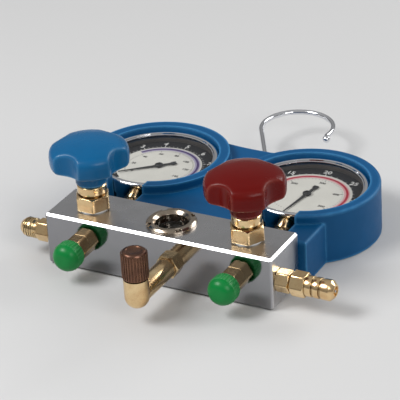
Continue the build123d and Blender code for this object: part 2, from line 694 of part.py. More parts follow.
def make_gauge_gasket():
    top = BEZEL_HEIGHT - BEZEL_LIP - LENS_THICKNESS
    inner = CASE_DIAMETER - 2 * GASKET_WIDTH
    return rod(CASE_DIAMETER, CASE_RIM_HEIGHT, top) - rod(inner, CASE_RIM_HEIGHT, top)


def make_gauge_dial():
    bottom = DIAL_HEIGHT - DIAL_THICKNESS
    return rod(DIAL_DIAMETER, bottom, DIAL_HEIGHT) - rod(DIAL_HOLE, bottom, DIAL_HEIGHT)


# ---------------------------------------------------------------- gauge socket and Bourdon tube
def tube_section(grow=0.0):
    """The flattened tube's outline in the XZ plane, at the tube's radius."""
    outline = SlotOverall(TUBE_WIDTH + 2 * grow, TUBE_THICKNESS + 2 * grow, rotation=90)
    middle = TUBE_BOTTOM + TUBE_WIDTH / 2
    return Pos(TUBE_RADIUS, 0, middle) * (Plane.XZ * outline)


def tube_arc(section, start_angle, arc):
    """Turn a section backwards (clockwise from above) from a start angle."""
    return Rot(0, 0, start_angle) * revolve(section, Axis.Z, -arc)


def make_bourdon_tube():
    wall = tube_section() - tube_section(-TUBE_WALL)
    tube = tube_arc(wall, TUBE_ROOT_ANGLE, TUBE_ARC)
    lug = Box(TIP_LUG, TIP_LUG, TUBE_WIDTH + TIP_LUG_RISE, align=(Align.CENTER, Align.MAX, Align.MIN))
    lug = chamfer(lug.edges().filter_by(Axis.Z), TIP_LUG / 5)
    tip = Rot(0, 0, TUBE_ROOT_ANGLE - TUBE_ARC) * Pos(TUBE_RADIUS, 0, TUBE_BOTTOM)
    return tube + tip * lug


def make_gauge_socket():
    """Local origin on the gauge's axis at the resting plane, its stem towards the block."""
    face = HALF_DEPTH - GAUGE_SETBACK
    case_inside = CASE_DIAMETER / 2 - CASE_WALL
    inner_face = FACE_GAP - math.sqrt(case_inside**2 - (SOCKET_BLOCK_WIDTH / 2) ** 2)
    stem = aim((0, face, GAUGE_PORT_HEIGHT), REAR)
    body = stem * rod(PIPE_THREAD, FACE_GAP - PIPE_THREAD_LENGTH, FACE_GAP)
    hex_start = FACE_GAP + 2.0
    body += stem * rod(PIPE_THREAD, 0, hex_start)
    body += stem * hex_bar(SOCKET_HEX, hex_start, hex_start + SOCKET_HEX_LENGTH, True, True)
    body += stem * rod(SOCKET_SHANK, hex_start + SOCKET_HEX_LENGTH, inner_face - face)
    bottom = BOOT_FLOOR + CASE_WALL + SOCKET_FLOOR_GAP
    low_front = (Align.CENTER, Align.MIN, Align.MIN)
    head = Box(SOCKET_BLOCK_WIDTH, SOCKET_BLOCK_DEPTH, SOCKET_BLOCK_TOP - bottom, align=low_front)
    body += Pos(0, inner_face, bottom) * head
    tongue_start = inner_face + SOCKET_BLOCK_DEPTH
    tongue = Box(TONGUE_WIDTH, TONGUE_LENGTH, LOWER_PLATE_HEIGHT - bottom, align=low_front)
    body += Pos(0, tongue_start, bottom) * tongue
    boss_height = TUBE_TOP + ROOT_BOSS_WALL - bottom
    boss = Box(ROOT_BOSS_WIDTH, ROOT_BOSS_DEPTH, boss_height, align=(Align.MAX, Align.MIN, Align.MIN))
    body += Pos(-TONGUE_WIDTH / 2, tongue_start, bottom) * boss
    body -= tube_arc(tube_section(FIT_GAP), TUBE_ROOT_ANGLE, TUBE_ARC / 6)
    bore = stem * rod(PASSAGE_BORE, -PIPE_THREAD_LENGTH, tongue_start - face - 1.0)
    return body - bore


# ---------------------------------------------------------------- gauge movement
def gear_outline(root, pitch_radius, teeth, first, last):
    """Tooth centres are at multiples of the pitch angle from the local X axis."""
    step = 360 / teeth
    tip = pitch_radius + 0.9 * MODULE
    points = []
    for index in range(first, last + 1):
        middle = index * step
        for radius, share in ((root, 1.35), (pitch_radius, 1.0), (tip, 0.5)):
            angle = middle - step * TOOTH_SHARE * share / 2
            points.append(polar(radius, angle))
        for radius, share in ((tip, 0.5), (pitch_radius, 1.0), (root, 1.35)):
            angle = middle + step * TOOTH_SHARE * share / 2
            points.append(polar(radius, angle))
    return points


def polar(radius, angle):
    return (radius * math.cos(math.radians(angle)), radius * math.sin(math.radians(angle)))


def sector_swing(side):
    """The sector's travel in degrees from rest."""
    return [end / GEAR_RATIO for end in SWEEP[side]]


def make_sector_gear(side):
    """Local origin on the sector's pivot; the pinion lies on the local +Y axis."""
    step = 360 / SECTOR_FULL_TEETH
    lowest, highest = sector_swing(side)
    first = math.floor((-highest - SECTOR_MARGIN) / step)
    last = math.ceil((-lowest + SECTOR_MARGIN) / step)
    root = SECTOR_RADIUS - 1.15 * MODULE
    inside = root - SECTOR_BAND
    start = (first - 0.5) * step
    end = (last + 0.5) * step
    points = [polar(inside, start), polar(root, start)]
    points += gear_outline(root, SECTOR_RADIUS, SECTOR_FULL_TEETH, first, last)
    points += [polar(root, end), polar(inside, end)]
    inner_steps = 6
    for index in range(1, inner_steps):
        points.append(polar(inside, end + (start - end) * index / inner_steps))
    band = make_face(Polyline(*points, close=True))
    spokes = Circle(SECTOR_HUB_DIAMETER / 2)
    for angle in (start + 3, end - 3):
        spoke = Rectangle(inside + SECTOR_BAND / 2, SECTOR_SPOKE_WIDTH, align=(Align.MIN, Align.CENTER))
        spokes += Rot(0, 0, angle) * spoke
    face = Rot(0, 0, 90) * (band + spokes)
    tail = SlotCenterToCenter(TAIL_LENGTH, TAIL_EYE_DIAMETER)
    face += Rot(0, 0, TAIL_ANGLE) * Pos(TAIL_LENGTH / 2, 0) * tail
    gear = Pos(0, 0, SECTOR_HEIGHT) * extrude(face, SECTOR_THICKNESS)
    gear += rod(ARBOR_DIAMETER, LOWER_PLATE_HEIGHT, UPPER_PLATE_HEIGHT + PLATE_THICKNESS)
    tail_x, tail_y = polar(TAIL_LENGTH, TAIL_ANGLE)
    pin_top = LINK_HEIGHT + LINK_THICKNESS + LINK_GAP
    return gear + Pos(tail_x, tail_y, 0) * rod(LINK_PIN_DIAMETER, SECTOR_HEIGHT, pin_top)


def make_link():
    """Joins the sector's tail to the tip of the tube; local origin on the sector's pivot."""
    tail = Vector(*polar(TAIL_LENGTH, TAIL_ANGLE))
    tip_x, tip_y = polar(TUBE_RADIUS, TUBE_ROOT_ANGLE - TUBE_ARC - 3)
    tip = Vector(tip_x, tip_y + SECTOR_PIVOT_SETBACK)
    reach = tip - tail
    bar = SlotCenterToCenter(reach.length, LINK_WIDTH)
    eye = Circle(LINK_PIN_DIAMETER / 2 + 0.9)
    hole = Circle(LINK_PIN_DIAMETER / 2 + RUN_GAP)
    turn = math.degrees(math.atan2(reach.Y, reach.X))
    face = Pos(reach.length / 2, 0) * bar + eye - hole
    flat = Pos(tail.X, tail.Y, LINK_HEIGHT) * Rot(0, 0, turn) * extrude(face, LINK_THICKNESS)
    return flat


def make_pinion():
    """Turns on the gauge's axis, a tooth gap facing the sector."""
    root = PINION_RADIUS - 1.15 * MODULE
    points = gear_outline(root, PINION_RADIUS, PINION_TEETH, 0, PINION_TEETH - 1)
    face = make_face(Polyline(*points, close=True))
    phase = -90 + 180 / PINION_TEETH
    middle = SECTOR_HEIGHT + SECTOR_THICKNESS / 2
    teeth = Pos(0, 0, middle - PINION_LENGTH / 2) * Rot(0, 0, phase) * extrude(face, PINION_LENGTH)
    return teeth + rod(PINION_ARBOR_DIAMETER, LOWER_PLATE_HEIGHT, POINTER_HEIGHT + POINTER_HUB_HEIGHT)


def pillar_places():
    spread = 6.5
    return [(0, -SECTOR_PIVOT_SETBACK - 6.0), (-spread, 4.0), (spread, 4.0)]


def make_movement_frame():
    """Two plates on three pillars, pierced for both arbors."""
    circles = Sketch() + [Pos(x, y) * Circle(PLATE_CORNER_RADIUS) for x, y in pillar_places()]
    plate = make_hull(circles.edges())
    plate -= Circle(PINION_ARBOR_DIAMETER / 2 + RUN_GAP)
    plate -= Pos(0, -SECTOR_PIVOT_SETBACK) * Circle(ARBOR_DIAMETER / 2 + RUN_GAP)
    frame = Pos(0, 0, LOWER_PLATE_HEIGHT) * extrude(plate, PLATE_THICKNESS)
    frame += Pos(0, 0, UPPER_PLATE_HEIGHT) * extrude(plate, PLATE_THICKNESS)
    for x, y in pillar_places():
        frame += Pos(x, y, 0) * rod(PILLAR_DIAMETER, LOWER_PLATE_HEIGHT, UPPER_PLATE_HEIGHT)
    return frame


def make_pointer(side):
    """Lies over the dial; drawn along local +Y and turned clockwise to its rest bearing."""
    blade = Polyline((-0.9, 0), (-0.25, POINTER_LENGTH), (0.25, POINTER_LENGTH), (0.9, 0), close=True)
    tail = Polyline((-0.9, 0), (-1.6, -POINTER_TAIL), (1.6, -POINTER_TAIL), (0.9, 0), close=True)
    hub = POINTER_HUB_DIAMETER / 2
    face = make_face(blade) + make_face(tail) + Circle(hub)
    pointer = Pos(0, 0, POINTER_HEIGHT) * extrude(face, POINTER_THICKNESS)
    pointer += rod(POINTER_HUB_DIAMETER - 1.0, POINTER_HEIGHT, POINTER_HEIGHT + POINTER_HUB_HEIGHT)
    pointer -= rod(PINION_ARBOR_DIAMETER + FIT_GAP, POINTER_HEIGHT, POINTER_HEIGHT + POINTER_HUB_HEIGHT)
    return Rot(0, 0, -REST_BEARING[side]) * pointer


# ---------------------------------------------------------------- boot
def boot_outline():
    """Two rings, the web between them and the straight edge that faces the block."""
    front = HALF_DEPTH + FACE_GAP
    reach = BOOT_FAR_EDGE_REACH
    edge = Polyline(
        (-reach, BOOT_FAR_EDGE_ENDS),
        (-BOOT_HALF_WIDTH, GAUGE_SETBACK / 2 + front / 2),
        (-BOOT_HALF_WIDTH, front),
        (BOOT_HALF_WIDTH, front),
        (BOOT_HALF_WIDTH, GAUGE_SETBACK / 2 + front / 2),
        (reach, BOOT_FAR_EDGE_ENDS),
    )
    far = ThreePointArc((reach, BOOT_FAR_EDGE_ENDS), (0, BOOT_FAR_EDGE), (-reach, BOOT_FAR_EDGE_ENDS))
    return make_face([edge, far])


def make_boot():
    ring = Circle(BOOT_RING_DIAMETER / 2)
    rings = Sketch() + [Pos(sign * STATION, GAUGE_SETBACK) * ring for sign in SIDES.values()]
    web = extrude(boot_outline() + rings, BOOT_WEB_HEIGHT)
    web = fillet(web.faces().sort_by(Axis.Z)[-1].edges(), BOOT_EDGE_RADIUS)
    rims = extrude(rings, BOOT_RIM_HEIGHT)
    rims = fillet(rims.faces().sort_by(Axis.Z)[-1].edges(), BOOT_EDGE_RADIUS)
    boot = web + rims
    front = HALF_DEPTH + FACE_GAP
    for side in SIDES:
        boot -= gauge_place(side) * rod(2 * BOOT_WELL_RADIUS, BOOT_FLOOR, BOOT_RIM_HEIGHT)
        notch_length = GAUGE_SETBACK - front
        notch = Box(
            BOOT_NOTCH_WIDTH,
            notch_length,
            BOOT_RIM_HEIGHT - BOOT_FLOOR,
            align=(Align.CENTER, Align.MAX, Align.MIN),
        )
        boot -= gauge_place(side) * Pos(0, 0, BOOT_FLOOR) * notch
    shank = aim((0, BOOT_FAR_EDGE, HOOK_HEIGHT), REAR)
    boot -= shank * rod(WIRE_DIAMETER + 2 * RUN_GAP, -HOOK_BOSS_LENGTH - 1, 10)
    return boot - boot_cells()


def boot_cells():
    """Moulded pockets in the back of the web, divided by ribs."""
    depth = BOOT_WEB_HEIGHT - BOOT_SKIN
    keep = BOOT_RING_DIAMETER / 2
    far = BOOT_FAR_EDGE - HOOK_BOSS_LENGTH
    near = HALF_DEPTH + FACE_GAP + BOOT_WALL
    cells = Sketch()
    for low, high, width in (
        (GAUGE_SETBACK + BOOT_WALL, far, BOOT_CELL_MAX),
        (near + BOOT_CELL_MAX + BOOT_WALL, GAUGE_SETBACK, BOOT_CELL_MAX),
        (near, near + BOOT_CELL_MAX, BOOT_CELL_MAX),
    ):
        cells += Pos(0, (low + high) / 2) * Rectangle(width, high - low)
    for sign in SIDES.values():
        cells -= Pos(sign * STATION, GAUGE_SETBACK) * Circle(keep)
    return extrude(cells, depth)


# ---------------------------------------------------------------- hook
def make_hook():
    """One bent wire: shank, straight leg, open ring and an out-turned mouth."""
    spread = math.radians(HOOK_SPREAD)
    ring = HOOK_RING_RADIUS
    centre = (0, HOOK_RING_SETBACK)
    join = (-ring * math.cos(spread), centre[1] - ring * math.sin(spread))
    bend_width = HOOK_BEND_RADIUS * (1 - math.cos(spread))
    leg = (-join[0] - bend_width) / math.sin(spread)
    elbow = (join[0] + leg * math.sin(spread), join[1] - leg * math.cos(spread))
    shank_top = elbow[1] - HOOK_BEND_RADIUS * math.sin(spread)
    shank_start = BOOT_FAR_EDGE - HOOK_BOSS_LENGTH - FACE_GAP - HOOK_SHANK_END
    half = spread / 2
    bend_middle = (
        -HOOK_BEND_RADIUS * (1 - math.cos(half)),
        shank_top + HOOK_BEND_RADIUS * math.sin(half),
    )
    mouth = math.radians(HOOK_MOUTH_ANGLE)
    mouth_point = (ring * math.cos(mouth), centre[1] + ring * math.sin(mouth))
    flare_centre = (
        (ring + HOOK_FLARE_RADIUS) * math.cos(mouth),
        centre[1] + (ring + HOOK_FLARE_RADIUS) * math.sin(mouth),
    )
    flare_end_angle = math.radians(180 + HOOK_MOUTH_ANGLE + HOOK_FLARE_ANGLE)
    flare_half_angle = math.radians(180 + HOOK_MOUTH_ANGLE + HOOK_FLARE_ANGLE / 2)
    flare_middle = tuple(
        c + HOOK_FLARE_RADIUS * f(flare_half_angle) for c, f in zip(flare_centre, (math.cos, math.sin))
    )
    flare_end = tuple(
        c + HOOK_FLARE_RADIUS * f(flare_end_angle) for c, f in zip(flare_centre, (math.cos, math.sin))
    )
    path = Line((0, shank_start), (0, shank_top))
    path += ThreePointArc((0, shank_top), bend_middle, elbow)
    path += Line(elbow, join)
    path += ThreePointArc(join, (0, centre[1] + ring), mouth_point)
    path += ThreePointArc(mouth_point, flare_middle, flare_end)
    section = Plane(origin=(0, shank_start, 0), z_dir=REAR) * Circle(WIRE_DIAMETER / 2)
    wire = sweep(section, path=path)
    tip = Pos(flare_end[0], flare_end[1], 0) * Sphere(HOOK_TIP_DIAMETER / 2)
    return Pos(0, 0, HOOK_HEIGHT) * (wire + tip)


def make_hook_collar():
    face = aim((0, BOOT_FAR_EDGE - HOOK_BOSS_LENGTH - FACE_GAP, HOOK_HEIGHT), FRONT)
    collar = rod(HOOK_COLLAR_DIAMETER, 0, HOOK_COLLAR_LENGTH)
    return face * (collar - rod(WIRE_DIAMETER + 2 * FIT_GAP, 0, HOOK_COLLAR_LENGTH))


# ---------------------------------------------------------------- assembly
def build_nodes():
    nodes = {
        "manifold_block": make_block(),
        "gallery_plug": make_gallery_plug(),
        "sight_glass_ring": Pos(SIGHT_OFFSET, 0, 0) * make_sight_glass_ring(),
        "sight_glass_lens": Pos(SIGHT_OFFSET, 0, 0) * make_sight_glass_lens(),
        "sight_glass_seal": Pos(SIGHT_OFFSET, 0, 0) * make_sight_glass_seal(),
        "centre_elbow": make_centre_elbow(),
        "service_cap": make_service_cap(),
        "service_cap_gasket": make_service_cap_gasket(),
        "gauge_boot": make_boot(),
        "hanging_hook": make_hook(),
        "hook_collar": make_hook_collar(),
    }
    riser_tip = Pos(ELBOW_OFFSET, ELBOW_AXIS_Y, RISER_TIP)
    nodes["centre_core"] = riser_tip * make_valve_core()
    nodes["centre_core_pin"] = riser_tip * make_core_pin()

    low_end = aim((-HALF_LENGTH, -SIDE_PORT_SETBACK, HOSE_PORT_HEIGHT), (-1, 0, 0))
    high_end = aim((HALF_LENGTH, -SIDE_PORT_SETBACK, HOSE_PORT_HEIGHT), (1, 0, 0))
    low_tip = low_end * Pos(0, 0, LOW_SIDE_HEX_LENGTH + LOW_SIDE_STEM_LENGTH)
    adapter_length = HIGH_SIDE_HEX_LENGTH + ADAPTER_NECK_LENGTH + ADAPTER_HEX_LENGTH + ADAPTER_STEM_LENGTH
    high_tip = high_end * Pos(0, 0, adapter_length)
    nodes["low_side_fitting"] = low_end * make_low_side_fitting()
    nodes["high_side_fitting"] = high_end * make_high_side_fitting()
    nodes["high_side_adapter"] = high_end * make_high_side_adapter()
    for side, tip in (("low", low_tip), ("high", high_tip)):
        nodes[side + "_side_core"] = tip * make_valve_core()
        nodes[side + "_side_core_pin"] = tip * make_core_pin()

    for side, sign in SIDES.items():
        valve = valve_place(side)
        nodes[side + "_bonnet"] = valve * make_bonnet()
        nodes[side + "_bonnet_gasket"] = valve * make_bonnet_gasket()
        nodes[side + "_stem"] = valve * make_stem()
        nodes[side + "_stem_o_ring"] = valve * make_stem_o_ring()
        nodes[side + "_seat_disc"] = valve * make_seat_disc()
        nodes[side + "_knob"] = valve * Pos(0, 0, KNOB_BOTTOM) * make_knob(side)
        port = aim((sign * STATION, -HALF_DEPTH, HOSE_PORT_HEIGHT), FRONT)
        nodes[side + "_hose_port"] = port * make_hose_port()
        nodes[side + "_port_cap"] = port * make_port_cap()

        gauge = gauge_place(side)
        pivot = gauge * Pos(0, -SECTOR_PIVOT_SETBACK, 0)
        nodes[side + "_gauge_case"] = gauge * make_gauge_case()
        nodes[side + "_gauge_bezel"] = gauge * make_gauge_bezel()
        nodes[side + "_gauge_lens"] = gauge * make_gauge_lens()
        nodes[side + "_gauge_gasket"] = gauge * make_gauge_gasket()
        nodes[side + "_gauge_dial"] = gauge * make_gauge_dial()
        nodes[side + "_gauge_socket"] = gauge * make_gauge_socket()
        nodes[side + "_bourdon_tube"] = gauge * make_bourdon_tube()
        nodes[side + "_movement_frame"] = gauge * make_movement_frame()
        nodes[side + "_sector_gear"] = pivot * make_sector_gear(side)
        nodes[side + "_movement_link"] = pivot * make_link()
        nodes[side + "_pinion"] = gauge * make_pinion()
        nodes[side + "_pointer"] = gauge * make_pointer(side)
    return nodes


def main():
    os.makedirs("parts", exist_ok=True)
    for name, shape in build_nodes().items():
        export_step(shape, f"parts/{name}.step")


main()
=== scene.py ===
"""A two-valve refrigerant manifold set: fine forms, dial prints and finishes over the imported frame.

Sizes are in millimetres and a finished mesh is in metres, at its real place in the frame.
"""
import math

import bmesh
import bpy
from mathutils import Matrix, Vector


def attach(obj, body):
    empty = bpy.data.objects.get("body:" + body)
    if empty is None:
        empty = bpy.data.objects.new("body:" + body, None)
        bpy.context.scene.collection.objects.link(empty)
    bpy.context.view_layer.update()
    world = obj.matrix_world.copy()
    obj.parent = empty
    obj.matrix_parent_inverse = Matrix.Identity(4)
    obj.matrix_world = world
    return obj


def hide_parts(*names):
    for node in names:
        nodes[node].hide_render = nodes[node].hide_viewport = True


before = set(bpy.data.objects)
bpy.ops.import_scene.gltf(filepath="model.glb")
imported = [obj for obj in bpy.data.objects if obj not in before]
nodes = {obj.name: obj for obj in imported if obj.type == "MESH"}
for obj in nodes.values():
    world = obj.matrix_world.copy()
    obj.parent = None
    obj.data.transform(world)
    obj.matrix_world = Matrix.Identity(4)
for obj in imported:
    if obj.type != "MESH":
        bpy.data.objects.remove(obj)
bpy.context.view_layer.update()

# ---- sizes
MM = 0.001
TO_METRES = Matrix.Diagonal((MM, MM, MM, 1))
AROUND = 72              # corners around a turned part
FINE_AROUND = 144        # corners around a gauge's parts
SIDES = {"low": -1, "high": 1}
STATION = 45.8           # from the middle of the block to each valve, gauge and hose port
GAUGE_SETBACK = 71.4
FACE_GAP = 0.3

BLOCK_LENGTH = 134.0
BLOCK_DEPTH = 32.0
BLOCK_HEIGHT = 30.0
PORT_HEIGHT = 15.0
SIDE_PORT_SETBACK = 8.5

BONNET_HEX = 17.0
BONNET_START = 30.8
BONNET_HEX_LENGTH = 8.0
BONNET_COLLAR = 15.8
BONNET_GROOVE = 0.7      # depth of the groove between hexagon and collar
BONNET_EDGE = 0.8
BONNET_TOP = 45.0
BONNET_BORE = 6.66

KNOB_BOTTOM = 45.4
KNOB_LOBES = 4
KNOB_HOLLOW_RADIUS = 10.5
KNOB_HOLLOW_SETBACK = 27.4
KNOB_BEARING = {"low": -8.0, "high": -14.0}
KNOB_FINISH = {"low": "blue_knob", "high": "red_knob"}
KNOB_PROFILE = [         # (radius, height) from the skirt's middle over the neck to the apex
    (0.0, 0.0), (8.3, 0.0), (8.6, 4.8), (8.8, 9.0), (14.4, 9.4), (19.4, 10.0), (20.9, 11.3),
    (21.3, 14.6), (21.2, 17.6), (20.3, 20.0), (17.8, 21.9), (13.0, 23.6), (7.0, 24.9), (0.0, 25.4),
]
KNOB_CORNERS = {0, 1, 2, 3}      # numbers of the profile's points that keep a corner
KNOB_EDGE_ROUNDING = 4.2

SIGHT_OFFSET = 1.5
SIGHT_FLANGE = 27.0
SIGHT_OPENING = 17.0
SIGHT_TOP = 32.2
SIGHT_LENS_TOP = 26.5
SIGHT_BEVEL = 1.6        # around the opening
SIGHT_EDGE = 1.2
SIGHT_NECK_STEP = 2.5    # from the flange's edge to its neck
SIGHT_SLOTS = 4
SIGHT_SLOT_WIDTH = 3.0
SIGHT_SLOT_DEPTH = 1.2
SIGHT_SLOT_START = 11.0
SIGHT_SLOT_LENGTH = 4.0
SIGHT_CUP = [            # (radius, height) around the cup under the lens, dark as painted shade
    (0.01, 8.0), (6.9, 8.0), (6.9, 22.0), (6.3, 22.0), (5.6, 9.0), (0.01, 8.6),
]

FLARE_THREAD = 11.1
FLARE_PITCH = 1.27
THREAD_DEPTH = 0.42 * FLARE_PITCH
FLARE_NOSE = 6.8
FLARE_CONE = 2.2
PORT_HEX = 12.0
PORT_HEX_LENGTH = 8.0
HOSE_FLARE_LENGTH = 9.0
PASSAGE_BORE = 4.5
FLARE_BORE = 5.2
PORT_CAP_DIAMETER = 15.6
PORT_CAP_LENGTH = 11.2
PORT_CAP_WALL = 1.8
PORT_CAP_DOME = 5.2      # height of the domed end
CAP_CLEARANCE = 0.1      # from a cap's bore to the thread
CAP_RIBS = 28

ELBOW_OFFSET = 8.0
ELBOW_AXIS_Y = -50.8
RISER_BASE = 25.4
RISER_TIP = 37.4
SERVICE_CAP_DIAMETER = 14.0
SERVICE_CAP_LENGTH = 15.7
SERVICE_CAP_TOP = 2.0

SIDE_HEX = 11.0
LOW_HEX_LENGTH = 8.6
LOW_STEM_LENGTH = 10.4
HIGH_HEX_LENGTH = 7.6
ADAPTER_HEX = 12.0
ADAPTER_NECK_LENGTH = 0.8
ADAPTER_HEX_LENGTH = 8.0
ADAPTER_NECK = 8.0
ADAPTER_STEM_LENGTH = 15.6
ADAPTER_BAND = 4.2       # from one groove to the next
ADAPTER_GROOVE = 1.4
ADAPTER_GROOVE_DEPTH = 0.9

BEZEL_DIAMETER = 68.0
BEZEL_SKIRT = 66.8
BEZEL_OPENING = 61.0
BEZEL_BOTTOM = 18.0
BEZEL_TOP = 26.4
BEZEL_LIP = 1.2
BEZEL_ROLL = 1.5
DIAL_HEIGHT = 20.4
LENS_BOTTOM = 23.6
SPACER_OUTSIDE = 32.0
SPACER_INSIDE = 31.2
SPACER_FOOT = 31.6
POINTER_HEIGHT = 21.0
POINTER_THICKNESS = 0.45
POINTER_LENGTH = 23.5
POINTER_TAIL = 10.0
REST_BEARING = {"low": 230.0, "high": 188.0}
DIAL_PRINTS = {          # bearings and labels of the two rings of numbers
    "low": {"start": 230.0, "sweep": 247.0, "outer": range(10), "inner": range(0, 160, 20)},
    "high": {"start": 190.0, "sweep": 296.0, "outer": range(0, 40, 5), "inner": range(0, 600, 100)},
}
BAND_EDGES = {"low": (24.2, 31.8), "high": (24.6, 31.8)}
BAND_OVERRUN = 12.0      # degrees of band past each end of the scale
ARCS = (                 # name, inner and outer radius, dark or pale ink
    ("arc", 21.2, 22.5, 0),
    ("halo", 20.1, 21.2, 1),
    ("rim_line", 22.5, 23.2, 1),
)
ARC_INKS = {"low": ("dial_violet", "dial_pale_violet"), "high": ("dial_red", "dial_pink")}
ARC_START = 0.3          # share of the scale before the coloured arc
BAND_THICKNESS = 0.06
ARC_THICKNESS = 0.05
NUMERAL_THICKNESS = 0.05
# Each ring's ink; its numbers' radius, size and height; and its rows of ticks as steps from one
# number to the next, radius, length, width and height.
DIAL_MARKS = {
    "outer": (
        "dial_numeral_white",
        (28.1, 4.8, 0.09),
        ((5, 25.0, 0.9, 0.20, 0.08), (1, 25.3, 1.5, 0.40, 0.09)),
    ),
    "inner": (
        "dial_ink",
        (15.6, 2.6, 0.05),
        ((10, 19.2, 0.8, 0.16, 0.05), (1, 18.8, 1.5, 0.30, 0.06)),
    ),
}


# ---- node helpers
def add_node(tree, kind, inputs=None, **settings):
    """Adds a node, links or fills its inputs (by name or number) and applies its settings."""
    node = tree.nodes.new(kind)
    for name, value in settings.items():
        setattr(node, name, value)
    for key, value in (inputs or {}).items():
        socket = node.inputs[key]
        if isinstance(value, bpy.types.NodeSocket):
            tree.links.new(value, socket)
        else:
            socket.default_value = value
    return node


def add_socket(tree, name, kind, value=None, output=False):
    socket = tree.interface.new_socket(name, in_out="OUTPUT" if output else "INPUT", socket_type=kind)
    if value is not None:
        socket.default_value = value
    return socket


def calculator(tree):
    """Returns a short way to write one Math node after another."""

    def calculate(operation, *values):
        return add_node(tree, "ShaderNodeMath", dict(enumerate(values)), operation=operation).outputs[0]

    return calculate


def vector_of(tree, x=0.0, y=0.0, z=0.0):
    return add_node(tree, "ShaderNodeCombineXYZ", {0: x, 1: y, 2: z}).outputs[0]


def new_geometry_tree(name, **sizes):
    """A Geometry Nodes tree with named size inputs, a material input and one mesh output."""
    tree = bpy.data.node_groups.new(name, "GeometryNodeTree")
    add_socket(tree, "Geometry", "NodeSocketGeometry", output=True)
    for label, value in sizes.items():
        kind = "NodeSocketInt" if isinstance(value, int) else "NodeSocketFloat"
        add_socket(tree, label.replace("_", " "), kind, value)
    add_socket(tree, "Material", "NodeSocketMaterial")
    return tree, tree.nodes.new("NodeGroupInput").outputs


def end_geometry_tree(tree, geometry, material):
    """Realizes the instances, sets the material and joins the result to the output."""
    real = add_node(tree, "GeometryNodeRealizeInstances", {"Geometry": geometry})
    inputs = {"Geometry": real.outputs[0], "Material": material}
    painted = add_node(tree, "GeometryNodeSetMaterial", inputs)
    tree.links.new(painted.outputs[0], tree.nodes.new("NodeGroupOutput").inputs[0])


# ---- mesh helpers
def aim(origin, direction):
    """A place whose local Z points along a level direction, with local X level too."""
    forward = Vector(direction).normalized()
    across = Vector((0, 0, 1)).cross(forward)
    turn = Matrix((across, forward.cross(across), forward)).transposed()
    return Matrix.Translation(origin) @ turn.to_4x4()


def upright(x, y, z=0.0, turn=0.0):
    return Matrix.Translation((x, y, z)) @ Matrix.Rotation(math.radians(turn), 4, "Z")


def at_valve(side, height=0.0, turn=0.0):
    return upright(SIDES[side] * STATION, 0, height, turn)


def at_gauge(side, height=0.0, turn=0.0):
    return upright(SIDES[side] * STATION, GAUGE_SETBACK, height, turn)


def new_object(name, data):
    holder = bpy.data.objects.new(name, data)
    bpy.context.scene.collection.objects.link(holder)
    return holder


def paint(mesh, material):
    mesh.materials.clear()
    mesh.materials.append(material)


def add_piece(name, mesh, body, slot, material, *replaced):
    """A finished mesh as a piece that rides on a body and replaces CAD nodes; the slot is not used."""
    piece = new_object(name, mesh)
    paint(mesh, material)
    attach(piece, body)
    if replaced:
        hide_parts(*replaced)


def add_brass(name, mesh, *replaced):
    add_piece(name, mesh, "manifold", "turned_brass", M["turned_brass"], *replaced)


def add_print(name, mesh, ink):
    add_piece(name, mesh, "manifold", "dial_print", M[ink])


def smooth_mesh(mesh, angle=35):
    """Smooth shading that still breaks at edges sharper than an angle."""
    for face in mesh.polygons:
        face.use_smooth = True
    mesh.set_sharp_from_angle(angle=math.radians(angle))


def taken(holder, place=None):
    """The finished mesh of an object, which is then removed, moved to its place if it has one."""
    graph = bpy.context.evaluated_depsgraph_get()
    mesh = bpy.data.meshes.new_from_object(holder.evaluated_get(graph))
    bpy.data.objects.remove(holder)
    if place is not None:
        mesh.transform(TO_METRES @ place)
    return mesh


def bake(mesh, *modifiers):
    """Runs (kind, settings) modifiers on a mesh and returns the plain result."""
    holder = new_object("bench", mesh)
    for kind, settings in modifiers:
        modifier = holder.modifiers.new(kind, kind)
        for name, value in settings.items():
            setattr(modifier, name, value)
    return taken(holder)


def broken_edges(width, segments=2, angle=28):
    """A bevel for bake() over the edges sharper than an angle."""
    limit = {"limit_method": "ANGLE", "angle_limit": math.radians(angle)}
    return "BEVEL", {"width": width * MM, "segments": segments, **limit}


def grow(tree, values, place):
    """The mesh that a Geometry Nodes tree makes with given inputs, moved to its place."""
    holder = new_object("bench", bpy.data.meshes.new("bench"))
    modifier = holder.modifiers.new("grow", "NODES")
    modifier.node_group = tree
    for item in tree.interface.items_tree:
        if item.in_out == "INPUT" and item.name in values:
            modifier[item.identifier] = values[item.name]
    return taken(holder, place)


def plain_mesh(work, name):
    result = bpy.data.meshes.new(name)
    work.to_mesh(result)
    work.free()
    return result


def skin(rings, place=Matrix(), joined=False):
    """A closed mesh through rings of points; one-point rings are poles."""
    mesh = bmesh.new()
    made = [[mesh.verts.new(MM * (place @ Vector(point))) for point in ring] for ring in rings]
    pairs = list(zip(made, made[1:]))
    if joined:
        pairs.append((made[-1], made[0]))
    for lower, upper in pairs:
        count = max(len(lower), len(upper))
        for index in range(count):
            after = (index + 1) % count
            corners = [lower[index % len(lower)], lower[after % len(lower)]]
            corners += [upper[after % len(upper)], upper[index % len(upper)]]
            corners = list(dict.fromkeys(corners))
            if len(corners) > 2:
                mesh.faces.new(corners)
    bmesh.ops.recalc_face_normals(mesh, faces=mesh.faces)
    return plain_mesh(mesh, "skin")


def capped(rings):
    """The same rings with a pole in the middle of each end."""
    ends = []
    for ring in (rings[0], rings[-1]):
        middle = sum((Vector(point) for point in ring), Vector()) / len(ring)
        ends.append([tuple(middle)])
    return [ends[0], *rings, ends[1]]


def round_ring(radius, height, steps=AROUND):
    if radius == 0:
        return [(0, 0, height)]
    turns = [math.tau * index / steps for index in range(steps)]
    return [(radius * math.cos(turn), radius * math.sin(turn), height) for turn in turns]


